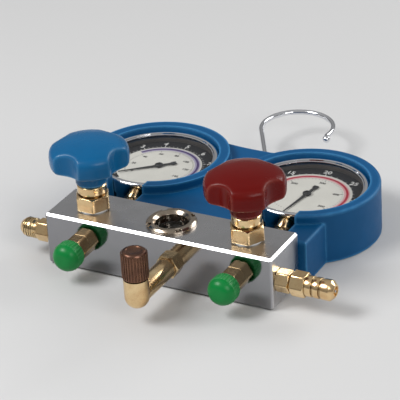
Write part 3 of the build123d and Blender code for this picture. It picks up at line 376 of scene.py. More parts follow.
def hex_ring(across, limit, height):
    """A hexagon's outline with its corners turned back to a radius."""
    ring = []
    for index in range(AROUND):
        turn = math.tau * index / AROUND
        off_flat = (turn % (math.pi / 3)) - math.pi / 6
        radius = min(across / 2 / math.cos(off_flat), limit)
        ring.append((radius * math.cos(turn), radius * math.sin(turn), height))
    return ring


def quarter_round(radius, height, across, rise, steps):
    """Corners of a quarter ellipse about (radius, height), from near its side to its top."""
    leans = [math.radians(90 * step / steps) for step in range(1, steps + 1)]
    return [(radius + across * math.cos(lean), height + rise * math.sin(lean)) for lean in leans]


def turned(outline, place=Matrix(), bevel=0.15, steps=AROUND, joined=False):
    """A turned part from (radius, height) corners, its edges slightly broken."""
    rings = [round_ring(radius, height, steps) for radius, height in outline]
    mesh = skin(rings, place, joined)
    if bevel:
        mesh = bake(mesh, broken_edges(bevel))
    smooth_mesh(mesh)
    return mesh


def hexagon(across, start, end, place=Matrix(), bore=0.0, ends=(True, True)):
    """A hexagon nut body with turned-back corners at its chosen ends."""
    corner = 0.99 * across / math.sqrt(3)
    flat = 0.475 * across
    slope = math.tan(math.radians(30))
    limits = [flat + (corner - flat) * share for share in (0.0, 0.25, 0.5, 0.75, 1.0)]
    rings = [round_ring(bore / 2, start)]
    for limit in limits:
        rings.append(hex_ring(across, limit if ends[0] else corner, start + (limit - flat) * slope))
    for limit in reversed(limits):
        rings.append(hex_ring(across, limit if ends[1] else corner, end - (limit - flat) * slope))
    rings.append(round_ring(bore / 2, end))
    mesh = bake(skin(rings, place, joined=bore > 0), broken_edges(0.18))
    smooth_mesh(mesh)
    return mesh


def plate(outline, thickness, place):
    """A flat plate with an outline of (x, y) corners."""
    work = bmesh.new()
    bottom, top = [
        [work.verts.new(MM * (place @ Vector((x, y, height)))) for x, y in outline]
        for height in (0.0, thickness)
    ]
    work.faces.new(bottom)
    work.faces.new(list(reversed(top)))
    for index in range(len(outline)):
        after = (index + 1) % len(outline)
        work.faces.new([bottom[index], bottom[after], top[after], top[index]])
    bmesh.ops.recalc_face_normals(work, faces=work.faces)
    return plain_mesh(work, "plate")


def joined_mesh(*meshes):
    """One mesh from several."""
    whole = bmesh.new()
    for mesh in meshes:
        whole.from_mesh(mesh)
    return plain_mesh(whole, "joined")


def outward(mesh):
    """Merges doubles and turns every face outwards."""
    work = bmesh.new()
    work.from_mesh(mesh)
    bmesh.ops.remove_doubles(work, verts=work.verts, dist=1e-7)
    bmesh.ops.recalc_face_normals(work, faces=work.faces)
    work.to_mesh(mesh)
    work.free()
    return mesh


# ---- camera, light and floor
CAMERA_PLACE = Vector((0.48350, -0.82761, 0.54441))
CAMERA_TARGET = Vector((-0.006, 0.045, 0.020))
CAMERA_LEAN = 3.44       # degrees that the camera's top leans to its right
CAMERA_LENS = 187.2
LAMP_TARGET = (0, 0.05, 0.02)
LAMPS = {                # place, size and power
    "key": ((-0.60, -0.55, 1.0), (0.6, 0.5), 11.5),
    "fill": ((0.95, -0.55, 0.75), (0.6, 0.5), 4.5),
    "rear": ((0.62, 1.0, 0.62), (0.9, 0.4), 6.5),
}
SKY_RISE = {1: 0.0, 2: 0.9, 3: 0.20, 4: 0.42}    # grey from the horizon to near the zenith
FLOOR_REACH = 3.0
FLOOR_DROP = -0.0004


def set_camera():
    camera = bpy.data.cameras.new("camera")
    camera.lens = CAMERA_LENS
    camera.sensor_width = 36
    camera.clip_start = 0.05
    holder = new_object("camera", camera)
    forward = (CAMERA_TARGET - CAMERA_PLACE).normalized()
    level = forward.cross(Vector((0, 0, 1))).normalized()
    rise = level.cross(forward)
    lean = math.radians(CAMERA_LEAN)
    across = level * math.cos(lean) - rise * math.sin(lean)
    up = level * math.sin(lean) + rise * math.cos(lean)
    turn = Matrix((across, up, -forward)).transposed().to_4x4()
    holder.matrix_world = Matrix.Translation(CAMERA_PLACE) @ turn
    bpy.context.scene.camera = holder


def add_lamp(name, place, size, power):
    lamp = bpy.data.lights.new(name, "AREA")
    lamp.shape = "RECTANGLE"
    lamp.size, lamp.size_y = size
    lamp.energy = power
    holder = new_object(name, lamp)
    holder.location = place
    aim_at = Vector(LAMP_TARGET) - Vector(place)
    holder.rotation_euler = aim_at.to_track_quat("-Z", "Y").to_euler()


def set_light():
    """Three lamps and a sky that brightens upwards."""
    for name, (place, size, power) in LAMPS.items():
        add_lamp(name, place, size, power)
    world = bpy.data.worlds.new("studio")
    world.use_nodes = True
    tree = world.node_tree
    direction = tree.nodes.new("ShaderNodeTexCoord").outputs["Generated"]
    height = add_node(tree, "ShaderNodeSeparateXYZ", {0: direction}).outputs[2]
    ramp = add_node(tree, "ShaderNodeMapRange", {0: height, **SKY_RISE}, interpolation_type="SMOOTHSTEP")
    grey = add_node(tree, "ShaderNodeCombineColor", {channel: ramp.outputs[0] for channel in range(3)})
    tree.links.new(grey.outputs[0], tree.nodes["Background"].inputs["Color"])
    bpy.context.scene.world = world
    bpy.context.scene.view_settings.view_transform = "Standard"


def set_floor():
    mesh = bpy.data.meshes.new("floor")
    corners = [(-1, -1), (1, -1), (1, 1), (-1, 1)]
    points = [(FLOOR_REACH * x, FLOOR_REACH * y, FLOOR_DROP) for x, y in corners]
    mesh.from_pydata(points, [], [(0, 1, 2, 3)])
    floor = new_object("floor", mesh)
    sockets = {"Base_Color": (0.62, 0.62, 0.62, 1), "Roughness": 0.6, "Specular_IOR_Level": 0.2}
    paint(mesh, new_material("studio_floor", **sockets)[0])


# ---- shader groups
def new_shader_group(name, inputs, outputs):
    """A shader node group; inputs and outputs map a label to (socket kind, value)."""
    tree = bpy.data.node_groups.new(name, "ShaderNodeTree")
    for label, (kind, value) in inputs.items():
        add_socket(tree, label, kind, value)
    for label, kind in outputs.items():
        add_socket(tree, label, kind, output=True)
    entry = tree.nodes.new("NodeGroupInput").outputs
    return tree, entry, tree.nodes.new("NodeGroupOutput").inputs


FLOAT = "NodeSocketFloat"
COLOUR = "NodeSocketColor"
VECTOR = "NodeSocketVector"


def noise_over(tree, scale, detail, stretch=None, **inputs):
    """Noise over the object's own coordinates, stretched if a socket says so."""
    place = tree.nodes.new("ShaderNodeTexCoord").outputs["Object"]
    if stretch is not None:
        factors = {0: place, 1: stretch}
        place = add_node(tree, "ShaderNodeVectorMath", factors, operation="MULTIPLY").outputs[0]
    values = {"Vector": place, "Scale": scale, "Detail": detail, **inputs}
    return add_node(tree, "ShaderNodeTexNoise", values).outputs[0]


def mixed(tree, factor, first, second):
    """A colour mix of two colours or sockets by a mask."""
    return add_node(tree, "ShaderNodeMix", {0: factor, 6: first, 7: second}, data_type="RGBA").outputs[2]


def put_out(tree, result, **values):
    for label, value in values.items():
        tree.links.new(value, result[label])


def make_mottle_group():
    """Slow colour and roughness drift, as on moulded or handled surfaces."""
    tree, entry, result = new_shader_group(
        "mottle",
        {
            "Scale": (FLOAT, 60.0),
            "Colour": (COLOUR, (0.5, 0.5, 0.5, 1)),
            "Second Colour": (COLOUR, (0.4, 0.4, 0.4, 1)),
            "Roughness Low": (FLOAT, 0.3),
            "Roughness High": (FLOAT, 0.4),
        },
        {"Colour": COLOUR, "Roughness": FLOAT},
    )
    calculate = calculator(tree)
    noise = noise_over(tree, entry["Scale"], 5.0, Roughness=0.6)
    mask = add_node(tree, "ShaderNodeMapRange", {0: noise, 1: 0.3, 2: 0.7}).outputs[0]
    spread = calculate("SUBTRACT", entry["Roughness High"], entry["Roughness Low"])
    roughness = calculate("MULTIPLY_ADD", mask, spread, entry["Roughness Low"])
    colour = mixed(tree, mask, entry["Colour"], entry["Second Colour"])
    put_out(tree, result, Colour=colour, Roughness=roughness)
    return tree


def make_scuff_group():
    """Fine tool marks, drawn out along the axis with the least stretch, as a height."""
    tree, entry, result = new_shader_group(
        "scuffs",
        {"Scale": (FLOAT, 400.0), "Stretch": (VECTOR, (1.0, 14.0, 14.0))},
        {"Height": FLOAT},
    )
    put_out(tree, result, Height=noise_over(tree, entry["Scale"], 3.0, entry["Stretch"]))
    return tree


def make_mask_group(name, reach, breakup, gain, least, find):
    """A group for a mask that a function finds within a reach, broken up by noise."""
    inputs = {"Reach": (FLOAT, reach), "Breakup Scale": (FLOAT, breakup), "Amount": (FLOAT, 1.0)}
    tree, entry, result = new_shader_group(name, inputs, {"Mask": FLOAT})
    calculate = calculator(tree)
    mask = find(tree, entry["Reach"])
    noise = noise_over(tree, entry["Breakup Scale"], 3.0)
    broken = calculate("MULTIPLY", mask, calculate("MULTIPLY_ADD", noise, gain, least))
    amount = calculate("MULTIPLY", broken, entry["Amount"])
    put_out(tree, result, Mask=add_node(tree, "ShaderNodeClamp", {0: amount}).outputs[0])
    return tree


def sharp_edges(tree, reach):
    """How far the bevelled normal turns from the true one."""
    bevel = add_node(tree, "ShaderNodeBevel", {"Radius": reach}, samples=4).outputs[0]
    true = tree.nodes.new("ShaderNodeNewGeometry").outputs["Normal"]
    dot = add_node(tree, "ShaderNodeVectorMath", {0: bevel, 1: true}, operation="DOT_PRODUCT")
    return calculator(tree)("SUBTRACT", 1.0, dot.outputs["Value"])


def closed_in(tree, reach):
    """How far a spot is closed in, as in a groove or an inner corner."""
    inputs = {"Distance": reach}
    around = add_node(tree, "ShaderNodeAmbientOcclusion", inputs, samples=6, only_local=True)
    return calculator(tree)("SUBTRACT", 0.92, around.outputs["AO"])


MOTTLE = make_mottle_group()
SCUFFS = make_scuff_group()
# Sharp edges turn lighter, partly as abrasion and partly as painted highlight.
EDGE_SHEEN_AND_WEAR = make_mask_group("edge wear", 0.0005, 250.0, 14.0, 0.0, sharp_edges)
# Closed-in spots such as grooves and inner corners darken: painted shade.
CREASE_SHADE = make_mask_group("crease grime", 0.0012, 500.0, 1.6, 0.6, closed_in)


def fill_group(tree, group, inputs):
    return add_node(tree, "ShaderNodeGroup", inputs, node_tree=group).outputs


def mottled(tree, scale, colour, second, low, high):
    inputs = {"Colour": shade(colour), "Second Colour": shade(second)}
    inputs.update({"Scale": scale, "Roughness Low": low, "Roughness High": high})
    return fill_group(tree, MOTTLE, inputs)


def surface(tree, colour, roughness, relief=None, strength=0.0, depth=0.0001):
    """Links a Principled shader's colour and roughness, and its bump if there is a relief."""
    shader = tree.nodes["Principled BSDF"]
    tree.links.new(colour, shader.inputs["Base Color"])
    tree.links.new(roughness, shader.inputs["Roughness"])
    if relief is not None:
        inputs = {"Height": relief, "Strength": strength, "Distance": depth}
        bump = add_node(tree, "ShaderNodeBump", inputs)
        tree.links.new(bump.outputs[0], shader.inputs["Normal"])


def new_material(name, **sockets):
    """A Principled material; sockets set plain values by their underscored names."""
    material = bpy.data.materials.new(name)
    material.use_nodes = True
    shader = material.node_tree.nodes["Principled BSDF"]
    for label, value in sockets.items():
        shader.inputs[label.replace("_", " ")].default_value = value
    return material, material.node_tree


def shade(colour, factor=1.0):
    return tuple(min(1.0, channel * factor) for channel in colour[:3]) + (1,)


def metal(name, colour, tarnish, rough, scale, stretch, wear_and_sheen, scratch=0.12, painted_shade=1.2):
    """Worked metal: tool marks, patchy tarnish, painted shade in its grooves, and bright edges that are
    partly abrasion and partly painted highlight.
    """
    material, tree = new_material(name, Metallic=1.0)
    cloud = mottled(tree, scale / 4, colour, tarnish, rough, rough * 1.7)
    marks = fill_group(tree, SCUFFS, {"Scale": scale, "Stretch": stretch})
    edges = fill_group(tree, EDGE_SHEEN_AND_WEAR, {"Reach": 0.0004, "Amount": wear_and_sheen})
    creases = fill_group(tree, CREASE_SHADE, {"Reach": 0.0014, "Amount": painted_shade})
    # Edges turn lighter, partly as abrasion and partly as painted highlight.
    bright = mixed(tree, edges["Mask"], cloud["Colour"], shade(colour, 1.2))
    # Closed-in spots take a dark tarnish tone as painted shade.
    crease_shaded = mixed(tree, creases["Mask"], bright, shade(tarnish, 0.22))
    surface(tree, crease_shaded, cloud["Roughness"], marks["Height"], scratch, 0.00008)
    return material


def moulded(name, colour, rough, grain, relief, shine, wear_and_sheen, rubbed_and_lit=None, reach=0.0006):
    """Moulded plastic: fine grain, handling marks, lighter edges that are partly scuffing and partly
    painted highlight, and painted shade in its creases.
    """
    material, tree = new_material(name, Specular_IOR_Level=shine)
    cloud = mottled(tree, 45.0, colour, shade(colour, 0.88), rough, rough * 1.35)
    edges = fill_group(tree, EDGE_SHEEN_AND_WEAR, {"Reach": reach, "Amount": wear_and_sheen, "Breakup Scale": 180.0})
    # The edges' lighter colour is partly scuffing and partly painted highlight.
    paler_and_lit = rubbed_and_lit or shade([channel + 0.03 for channel in colour], 1.6)
    worn_lit_and_shaded = mixed(tree, edges["Mask"], cloud["Colour"], paler_and_lit)
    # Closed-in spots darken as painted shade.
    creases = fill_group(tree, CREASE_SHADE, {"Reach": 0.002, "Amount": 0.5})
    worn_lit_and_shaded = mixed(tree, creases["Mask"], worn_lit_and_shaded, shade(colour, 0.35))
    surface(tree, worn_lit_and_shaded, cloud["Roughness"], noise_over(tree, grain, 2.0), relief)
    return material


FRONT_FADE = {1: -0.01480, 2: -0.01595}      # depths between which the block's front begins
# Painted shade: the block's front face is given a darker colour.
FRONT_SHADE = (0.25, 0.25, 0.265, 1)


def polished_block(name):
    """Satin milled metal whose front face is polished and darkened with painted shade."""
    satin, shadow = (0.60, 0.60, 0.615), (0.50, 0.50, 0.51)
    material = metal(name, satin, shadow, 0.22, 260.0, (1, 16, 16), 0.6, 0.10, 0.5)
    tree = material.node_tree
    calculate = calculator(tree)
    sockets = tree.nodes["Principled BSDF"].inputs
    tone = sockets["Base Color"].links[0].from_socket
    roughness = sockets["Roughness"].links[0].from_socket
    place = tree.nodes.new("ShaderNodeTexCoord").outputs["Object"]
    depth = add_node(tree, "ShaderNodeSeparateXYZ", {0: place}).outputs[1]
    front = add_node(tree, "ShaderNodeMapRange", {0: depth, **FRONT_FADE}).outputs[0]
    kept = calculate("MULTIPLY_ADD", front, -0.80, 1.0)
    # The front face's darker colour is painted shade.
    dark = mixed(tree, calculate("MULTIPLY", front, 0.75), tone, FRONT_SHADE)
    surface(tree, dark, calculate("MULTIPLY", roughness, kept))
    return material


def printed(name, colour):
    """A dial print: flat ink with a faint speckle."""
    return moulded(name, colour, 0.5, grain=5000.0, relief=0.05, shine=0.2, wear_and_sheen=0.0)


def clear(name):
    """A clear lens: see-through face on, a mirror at a glancing angle."""
    material, tree = new_material(name, Metallic=1.0)
    calculate = calculator(tree)
    smear = mottled(tree, 30.0, (0.92, 0.95, 0.97), (0.85, 0.89, 0.92), 0.02, 0.07)
    facing = add_node(tree, "ShaderNodeLayerWeight", {"Blend": 0.5}).outputs["Facing"]
    front = calculate("SUBTRACT", 1.0, tree.nodes.new("ShaderNodeNewGeometry").outputs["Backfacing"])
    rim = calculate("MULTIPLY_ADD", calculate("POWER", facing, 4.0), 0.6, 0.03)
    alpha = tree.nodes["Principled BSDF"].inputs["Alpha"]
    tree.links.new(calculate("MULTIPLY", rim, front), alpha)
    surface(tree, smear["Colour"], smear["Roughness"])
    return material


METALS = {               # colour, tarnish, roughness, marks' scale and stretch, edge abrasion and painted highlight, scratches, painted crease shade
    "turned_brass": ((0.94, 0.73, 0.42), (0.66, 0.42, 0.20), 0.15, 420.0, (3, 3, 12), 0.5, 0.10, 1.6),
    "knurled_cap": ((0.26, 0.13, 0.08), (0.12, 0.065, 0.05), 0.22, 700.0, (4, 4, 4), 2.2, 0.2, 2.2),
    "nickelled_brass": ((0.52, 0.46, 0.39), (0.34, 0.27, 0.20), 0.14, 420.0, (3, 3, 6), 0.5, 0.1),
    "chrome_plate": ((0.78, 0.79, 0.82), (0.74, 0.75, 0.78), 0.07, 200.0, (1, 1, 3), 0.1, 0.03, 0.4),
    "turned_steel": ((0.55, 0.55, 0.56), (0.46, 0.46, 0.47), 0.25, 420.0, (2, 2, 12), 0.3),
    "drawn_steel": ((0.66, 0.66, 0.68), (0.58, 0.58, 0.60), 0.16, 300.0, (2, 2, 8), 0.3, 0.08, 0.5),
    "stamped_brass": ((0.72, 0.50, 0.22), (0.58, 0.38, 0.16), 0.25, 380.0, (8, 2, 2), 0.3, 0.15),
    "drawn_bronze": ((0.62, 0.34, 0.17), (0.48, 0.25, 0.13), 0.22, 380.0, (2, 2, 10), 0.2, 0.10),
}
PLASTICS = {             # colour, roughness, grain, relief, shine, edge scuffing and painted highlight, colour of those edges, reach
    "blue_boot": ((0.0, 0.080, 0.222), 0.42, 1500.0, 0.18, 0.24, 1.1, (0.05, 0.24, 0.48, 1), 0.0022),
    "blue_knob": ((0.0, 0.106, 0.268), 0.24, 900.0, 0.04, 0.25, 1.1, (0.20, 0.45, 0.65, 1), 0.0016),
    "red_knob": ((0.122, 0.003, 0.002), 0.22, 900.0, 0.04, 0.15, 1.1, (0.50, 0.19, 0.15, 1), 0.0016),
    "green_cap": ((0.0, 0.205, 0.038), 0.28, 1100.0, 0.10, 0.30, 0.6, (0.10, 0.45, 0.16, 1)),
    "black_rubber": ((0.02, 0.02, 0.02), 0.6, 1400.0, 0.3, 0.4, 0.2),
    "white_ptfe": ((0.75, 0.75, 0.72), 0.4, 1400.0, 0.1, 0.4, 0.1),
    "bezel_spacer": ((0.055, 0.048, 0.045), 0.35, 1400.0, 0.1, 0.4, 0.1),
    "pointer_black": ((0.015, 0.015, 0.016), 0.35, 1600.0, 0.05, 0.4, 0.3),
}
INKS = {
    "dial_white": (0.60, 0.59, 0.54),
    "dial_black": (0.016, 0.016, 0.019),
    "dial_ink": (0.02, 0.02, 0.022),
    "dial_numeral_white": (0.70, 0.70, 0.68),
    "dial_red": (0.36, 0.01, 0.03),
    "dial_pink": (0.58, 0.32, 0.33),
    "dial_violet": (0.06, 0.03, 0.13),
    "dial_pale_violet": (0.34, 0.31, 0.42),
}
M = {"milled_aluminium": polished_block("milled_aluminium"), "clear_lens": clear("clear_lens")}
M.update({name: metal(name, *values) for name, values in METALS.items()})
M.update({name: moulded(name, *values) for name, values in PLASTICS.items()})
M.update({name: printed(name, colour) for name, colour in INKS.items()})


# ---- Geometry Nodes trees
def swept(tree, curve, growth, least, sides, radius):
    """A rod along a curve, thinned towards both ends."""
    calculate = calculator(tree)
    share = tree.nodes.new("GeometryNodeSplineParameter").outputs["Factor"]
    near_end = calculate("MINIMUM", share, calculate("SUBTRACT", 1.0, share))
    width = calculate("MINIMUM", calculate("MULTIPLY_ADD", near_end, growth, least), 1.0)
    tapered = add_node(tree, "GeometryNodeSetCurveRadius", {"Curve": curve, "Radius": width}).outputs[0]
    section = add_node(tree, "GeometryNodeCurvePrimitiveCircle", {"Resolution": sides, "Radius": radius})
    inputs = {"Curve": tapered, "Profile Curve": section.outputs[0], "Fill Caps": True}
    return add_node(tree, "GeometryNodeCurveToMesh", inputs).outputs[0]


def spun_copies(tree, points, instance, turn):
    """Copies of a shape on points, each turned about Z."""
    inputs = {"Points": points, "Instance": instance, "Rotation": vector_of(tree, z=turn)}
    return add_node(tree, "GeometryNodeInstanceOnPoints", inputs).outputs[0]


def make_thread_tree():
    """A helical ridge, thinned at both ends, that stands on a root cylinder."""
    tree, entry = new_geometry_tree(
        "thread ridge", Radius=5.0, Pitch=FLARE_PITCH, Length=8.0, Depth=THREAD_DEPTH, Steps=36
    )
    turns = calculator(tree)("DIVIDE", entry["Length"], entry["Pitch"])
    inputs = {"Resolution": entry["Steps"], "Rotations": turns, "Height": entry["Length"]}
    inputs.update({"Start Radius": entry["Radius"], "End Radius": entry["Radius"]})
    helix = add_node(tree, "GeometryNodeCurveSpiral", inputs).outputs[0]
    ridge = swept(tree, helix, 14.0, 0.15, 4, entry["Depth"])
    end_geometry_tree(tree, ridge, entry["Material"])
    return tree


def make_rib_tree():
    """Round-ended ribs standing in a ring, as a knurl or a finger grip."""
    tree, entry = new_geometry_tree(
        "grip ribs", Count=CAP_RIBS, Radius=7.0, Start=1.0, Length=10.0, Width=0.5, Taper=0.0
    )
    calculate = calculator(tree)
    top = vector_of(tree, entry["Taper"], 0.0, entry["Length"])
    stick = add_node(tree, "GeometryNodeCurvePrimitiveLine", {"End": top}).outputs[0]
    points = add_node(tree, "GeometryNodeResampleCurve", {"Curve": stick, "Count": 7}).outputs[0]
    rib = swept(tree, points, 5.0, 0.2, 8, entry["Width"])
    inputs = {"Vertices": entry["Count"], "Radius": entry["Radius"]}
    ring = add_node(tree, "GeometryNodeMeshCircle", inputs)
    index = tree.nodes.new("GeometryNodeInputIndex").outputs[0]
    turn = calculate("DIVIDE", calculate("MULTIPLY", index, math.tau), entry["Count"])
    lift = {"Geometry": ring.outputs[0], "Offset": vector_of(tree, z=entry["Start"])}
    raised = add_node(tree, "GeometryNodeSetPosition", lift).outputs[0]
    end_geometry_tree(tree, spun_copies(tree, raised, rib, turn), entry["Material"])
    return tree


def make_tick_tree():
    """Dial ticks in an arc, clockwise from a start bearing."""
    tree, entry = new_geometry_tree(
        "dial ticks", Count=31, Start=-135.0, Sweep=270.0, Radius=24.0, Length=2.0, Width=0.3, Height=0.06
    )
    calculate = calculator(tree)
    index = tree.nodes.new("GeometryNodeInputIndex").outputs[0]
    share = calculate("DIVIDE", index, calculate("SUBTRACT", entry["Count"], 1.0))
    turn = calculate("RADIANS", calculate("MULTIPLY_ADD", share, entry["Sweep"], entry["Start"]))
    x = calculate("MULTIPLY", entry["Radius"], calculate("SINE", turn))
    y = calculate("MULTIPLY", entry["Radius"], calculate("COSINE", turn))
    points = add_node(tree, "GeometryNodePoints", {"Count": entry["Count"]}).outputs[0]
    spread = {"Geometry": points, "Position": vector_of(tree, x, y)}
    placed = add_node(tree, "GeometryNodeSetPosition", spread).outputs[0]
    size = vector_of(tree, entry["Width"], entry["Length"], entry["Height"])
    bar = add_node(tree, "GeometryNodeMeshCube", {"Size": size}).outputs[0]
    copies = spun_copies(tree, placed, bar, calculate("MULTIPLY", turn, -1.0))
    end_geometry_tree(tree, copies, entry["Material"])
    return tree


def follow(tree, share, values, sharp):
    """A Float Curve node through evenly spaced values of a list; sharp ones keep a corner."""
    node = add_node(tree, "ShaderNodeFloatCurve", {"Value": share})
    curve = node.mapping.curves[0]
    top = max(values)
    last = len(values) - 1
    while len(curve.points) < len(values):
        curve.points.new(0.5, 0.5)
    for index, value in enumerate(values):
        point = curve.points[index]
        point.location = (index / last, value / top)
        point.handle_type = "VECTOR" if index in sharp else "AUTO"
    node.mapping.use_clip = False
    node.mapping.update()
    return calculator(tree)("MULTIPLY", node.outputs[0], top)


def make_knob_tree():
    """A turned knob whose side is scooped by upright round hollows, evenly spaced."""
    tree, entry = new_geometry_tree(
        "lobed knob", Around=240, Along=120, Lobes=KNOB_LOBES, Edge_Rounding=KNOB_EDGE_ROUNDING,
        Hollow_Radius=KNOB_HOLLOW_RADIUS, Hollow_Setback=KNOB_HOLLOW_SETBACK,
    )
    calculate = calculator(tree)
    size = {"Size X": 1.0, "Size Y": 1.0, "Vertices X": entry["Around"], "Vertices Y": entry["Along"]}
    grid = add_node(tree, "GeometryNodeMeshGrid", size).outputs[0]
    position = tree.nodes.new("GeometryNodeInputPosition").outputs[0]
    flat = add_node(tree, "ShaderNodeSeparateXYZ", {0: position})
    turn = calculate("MULTIPLY", calculate("ADD", flat.outputs[0], 0.5), math.tau)
    share = calculate("ADD", flat.outputs[1], 0.5)
    radius = follow(tree, share, [r for r, h in KNOB_PROFILE], KNOB_CORNERS)
    height = follow(tree, share, [h for r, h in KNOB_PROFILE], KNOB_CORNERS)
    hollow, setback = entry["Hollow Radius"], entry["Hollow Setback"]
    half_step = calculate("DIVIDE", math.pi, entry["Lobes"])
    off_axis = calculate("WRAP", turn, half_step, calculate("MULTIPLY", half_step, -1.0))
    across = calculate("ABSOLUTE", calculate("MULTIPLY", setback, calculate("SINE", off_axis)))
    forward = calculate("MULTIPLY", setback, calculate("COSINE", off_axis))
    inside = calculate("SUBTRACT", calculate("POWER", hollow, 2.0), calculate("POWER", across, 2.0))
    chord = calculate("SQRT", calculate("MAXIMUM", inside, 0.0))
    beyond = calculate("MAXIMUM", calculate("SUBTRACT", across, hollow), 0.0)
    missed = calculate("MULTIPLY", beyond, 40.0)
    reach = calculate("ADD", calculate("SUBTRACT", forward, chord), missed)
    cut = calculate("SMOOTH_MIN", radius, reach, entry["Edge Rounding"])
    x = calculate("MULTIPLY", cut, calculate("COSINE", turn))
    y = calculate("MULTIPLY", cut, calculate("SINE", turn))
    shape = {"Geometry": grid, "Position": vector_of(tree, x, y, height)}
    formed = add_node(tree, "GeometryNodeSetPosition", shape).outputs[0]
    closed = add_node(tree, "GeometryNodeMergeByDistance", {"Geometry": formed, "Distance": 0.002})
    smooth = add_node(tree, "GeometryNodeSetShadeSmooth", {"Geometry": closed.outputs[0]})
    end_geometry_tree(tree, smooth.outputs[0], entry["Material"])
    return tree


THREADS = make_thread_tree()
RIBS = make_rib_tree()
TICKS = make_tick_tree()
KNOB = make_knob_tree()


def grown(tree, values, place, angle=0):
    """What a tree grows, with its faces outwards and smooth up to an angle."""
    mesh = outward(grow(tree, values, place))
    if angle:
        smooth_mesh(mesh, angle)
    return mesh


def thread(length, place):
    values = {"Radius": FLARE_THREAD / 2 - THREAD_DEPTH, "Length": length, "Material": M["turned_brass"]}
    return grown(THREADS, values, place, 30)


def flare_outline(start, tip, bore):
    """A turned flare port's outline with a thread root, cone and bore."""
    root = FLARE_THREAD / 2 - THREAD_DEPTH
    return [
        (bore / 2, start), (root, start), (root, tip - FLARE_CONE - 0.4),
        (FLARE_THREAD / 2 - 0.5, tip - FLARE_CONE), (FLARE_NOSE / 2, tip), (bore / 2, tip),
    ]


# ---- pieces
def make_valves():
    bore = BONNET_BORE / 2
    collar = BONNET_COLLAR / 2
    collar_start = BONNET_START + BONNET_HEX_LENGTH
    outline = [
        (bore, collar_start - 1), (collar - BONNET_GROOVE, collar_start - 1),
        (collar - BONNET_GROOVE, collar_start + 0.8), (collar, collar_start + 1.4),
        (collar, BONNET_TOP - BONNET_EDGE), (collar - BONNET_EDGE, BONNET_TOP), (bore, BONNET_TOP),
    ]
    for side in SIDES:
        valve = at_valve(side)
        nut = hexagon(BONNET_HEX, BONNET_START, collar_start, valve, BONNET_BORE, (False, True))
        mesh = joined_mesh(nut, turned(outline, valve, joined=True))
        add_brass(side + "_bonnet_form", mesh, side + "_bonnet")
        place = at_valve(side, KNOB_BOTTOM, KNOB_BEARING[side])
        finish = KNOB_FINISH[side]
        mesh = grown(KNOB, {"Material": M[finish]}, place, 50)
        add_piece(side + "_knob_form", mesh, side + "_valve_stem", finish, M[finish], side + "_knob")


def make_sight_glass():
    """The slotted ring around the glass, and the cup below it, made dark as painted shade."""
    place = upright(SIGHT_OFFSET, 0)
    outer = SIGHT_FLANGE / 2
    inner = SIGHT_OPENING / 2
    outline = [
        (inner, SIGHT_LENS_TOP), (inner, SIGHT_TOP - SIGHT_BEVEL), (inner + SIGHT_BEVEL, SIGHT_TOP),
        (outer - SIGHT_EDGE, SIGHT_TOP), (outer, SIGHT_TOP - 1.0), (outer, BLOCK_HEIGHT),
        (outer - SIGHT_NECK_STEP, BLOCK_HEIGHT), (outer - SIGHT_NECK_STEP, SIGHT_LENS_TOP),
    ]
    ring = turned(outline, place, bevel=0.0, joined=True)
    near, far = SIGHT_SLOT_START, SIGHT_SLOT_START + SIGHT_SLOT_LENGTH
    left, right = -SIGHT_SLOT_WIDTH / 2, SIGHT_SLOT_WIDTH / 2
    corners = [(near, left), (far, left), (far, right), (near, right)]
    rings = capped([[(x, y, height) for x, y in corners] for height in (0.0, 4.0)])
    cutters = []
    for slot in range(SIGHT_SLOTS):
        turn = 360 / SIGHT_SLOTS * (slot + 0.5)
        cutters.append(skin(rings, upright(SIGHT_OFFSET, 0, SIGHT_TOP - SIGHT_SLOT_DEPTH, turn)))
    cutter = new_object("bench cutter", joined_mesh(*cutters))
    ring = bake(ring, ("BOOLEAN", {"object": cutter, "solver": "EXACT"}), broken_edges(0.2, 3))
    bpy.data.objects.remove(cutter)
    smooth_mesh(ring)
    nickel = M["nickelled_brass"]
    add_piece("sight_glass_rim", ring, "manifold", "turned_brass", nickel, "sight_glass_ring")
    # The cup's dark finish is painted shade inside the sight glass.
    cup = turned(SIGHT_CUP, place, bevel=0.1)
    add_piece("sight_glass_cup", cup, "manifold", "dark_brass", M["knurled_cap"])


def make_hose_ports():
    radius = PORT_CAP_DIAMETER / 2
    bore = FLARE_THREAD / 2 + CAP_CLEARANCE
    first = PORT_HEX_LENGTH + FACE_GAP
    last = first + PORT_CAP_LENGTH
    outline = [(0, last - PORT_CAP_WALL), (bore, last - PORT_CAP_WALL), (bore, first)]
    outline += [(radius - 0.9, first), (radius - 0.35, first + 0.6), (radius - 0.1, last - PORT_CAP_DOME)]
    dome = PORT_CAP_DOME
    outline += quarter_round(radius - dome, last - dome, dome - 0.1, dome, 6)
    outline.append((0, last))
    green = M["green_cap"]
    ribs = {"Radius": radius - 0.42, "Width": 0.38, "Taper": 0.2, "Material": green}
    ribs.update({"Start": first + 0.7, "Length": PORT_CAP_LENGTH - 5.4})
    tip = PORT_HEX_LENGTH + HOSE_FLARE_LENGTH
    for side, sign in SIDES.items():
        port = aim((sign * STATION, -BLOCK_DEPTH / 2, PORT_HEIGHT), (0, -1, 0))
        nut = hexagon(PORT_HEX, 0, PORT_HEX_LENGTH, port, PASSAGE_BORE, (False, True))
        nose = turned(flare_outline(PORT_HEX_LENGTH - 0.5, tip, PASSAGE_BORE), port, joined=True)
        start = port @ Matrix.Translation((0, 0, PORT_HEX_LENGTH + 0.9))
        ridge = thread(HOSE_FLARE_LENGTH - FLARE_CONE - 1.6, start)
        add_brass(side + "_hose_port_form", joined_mesh(nut, nose, ridge), side + "_hose_port")
        mesh = joined_mesh(turned(outline, port, bevel=0.12), grown(RIBS, ribs, port, 60))
        cap = side + "_port_cap"
        add_piece(side + "_cap_form", mesh, cap, "green_cap", green, cap)


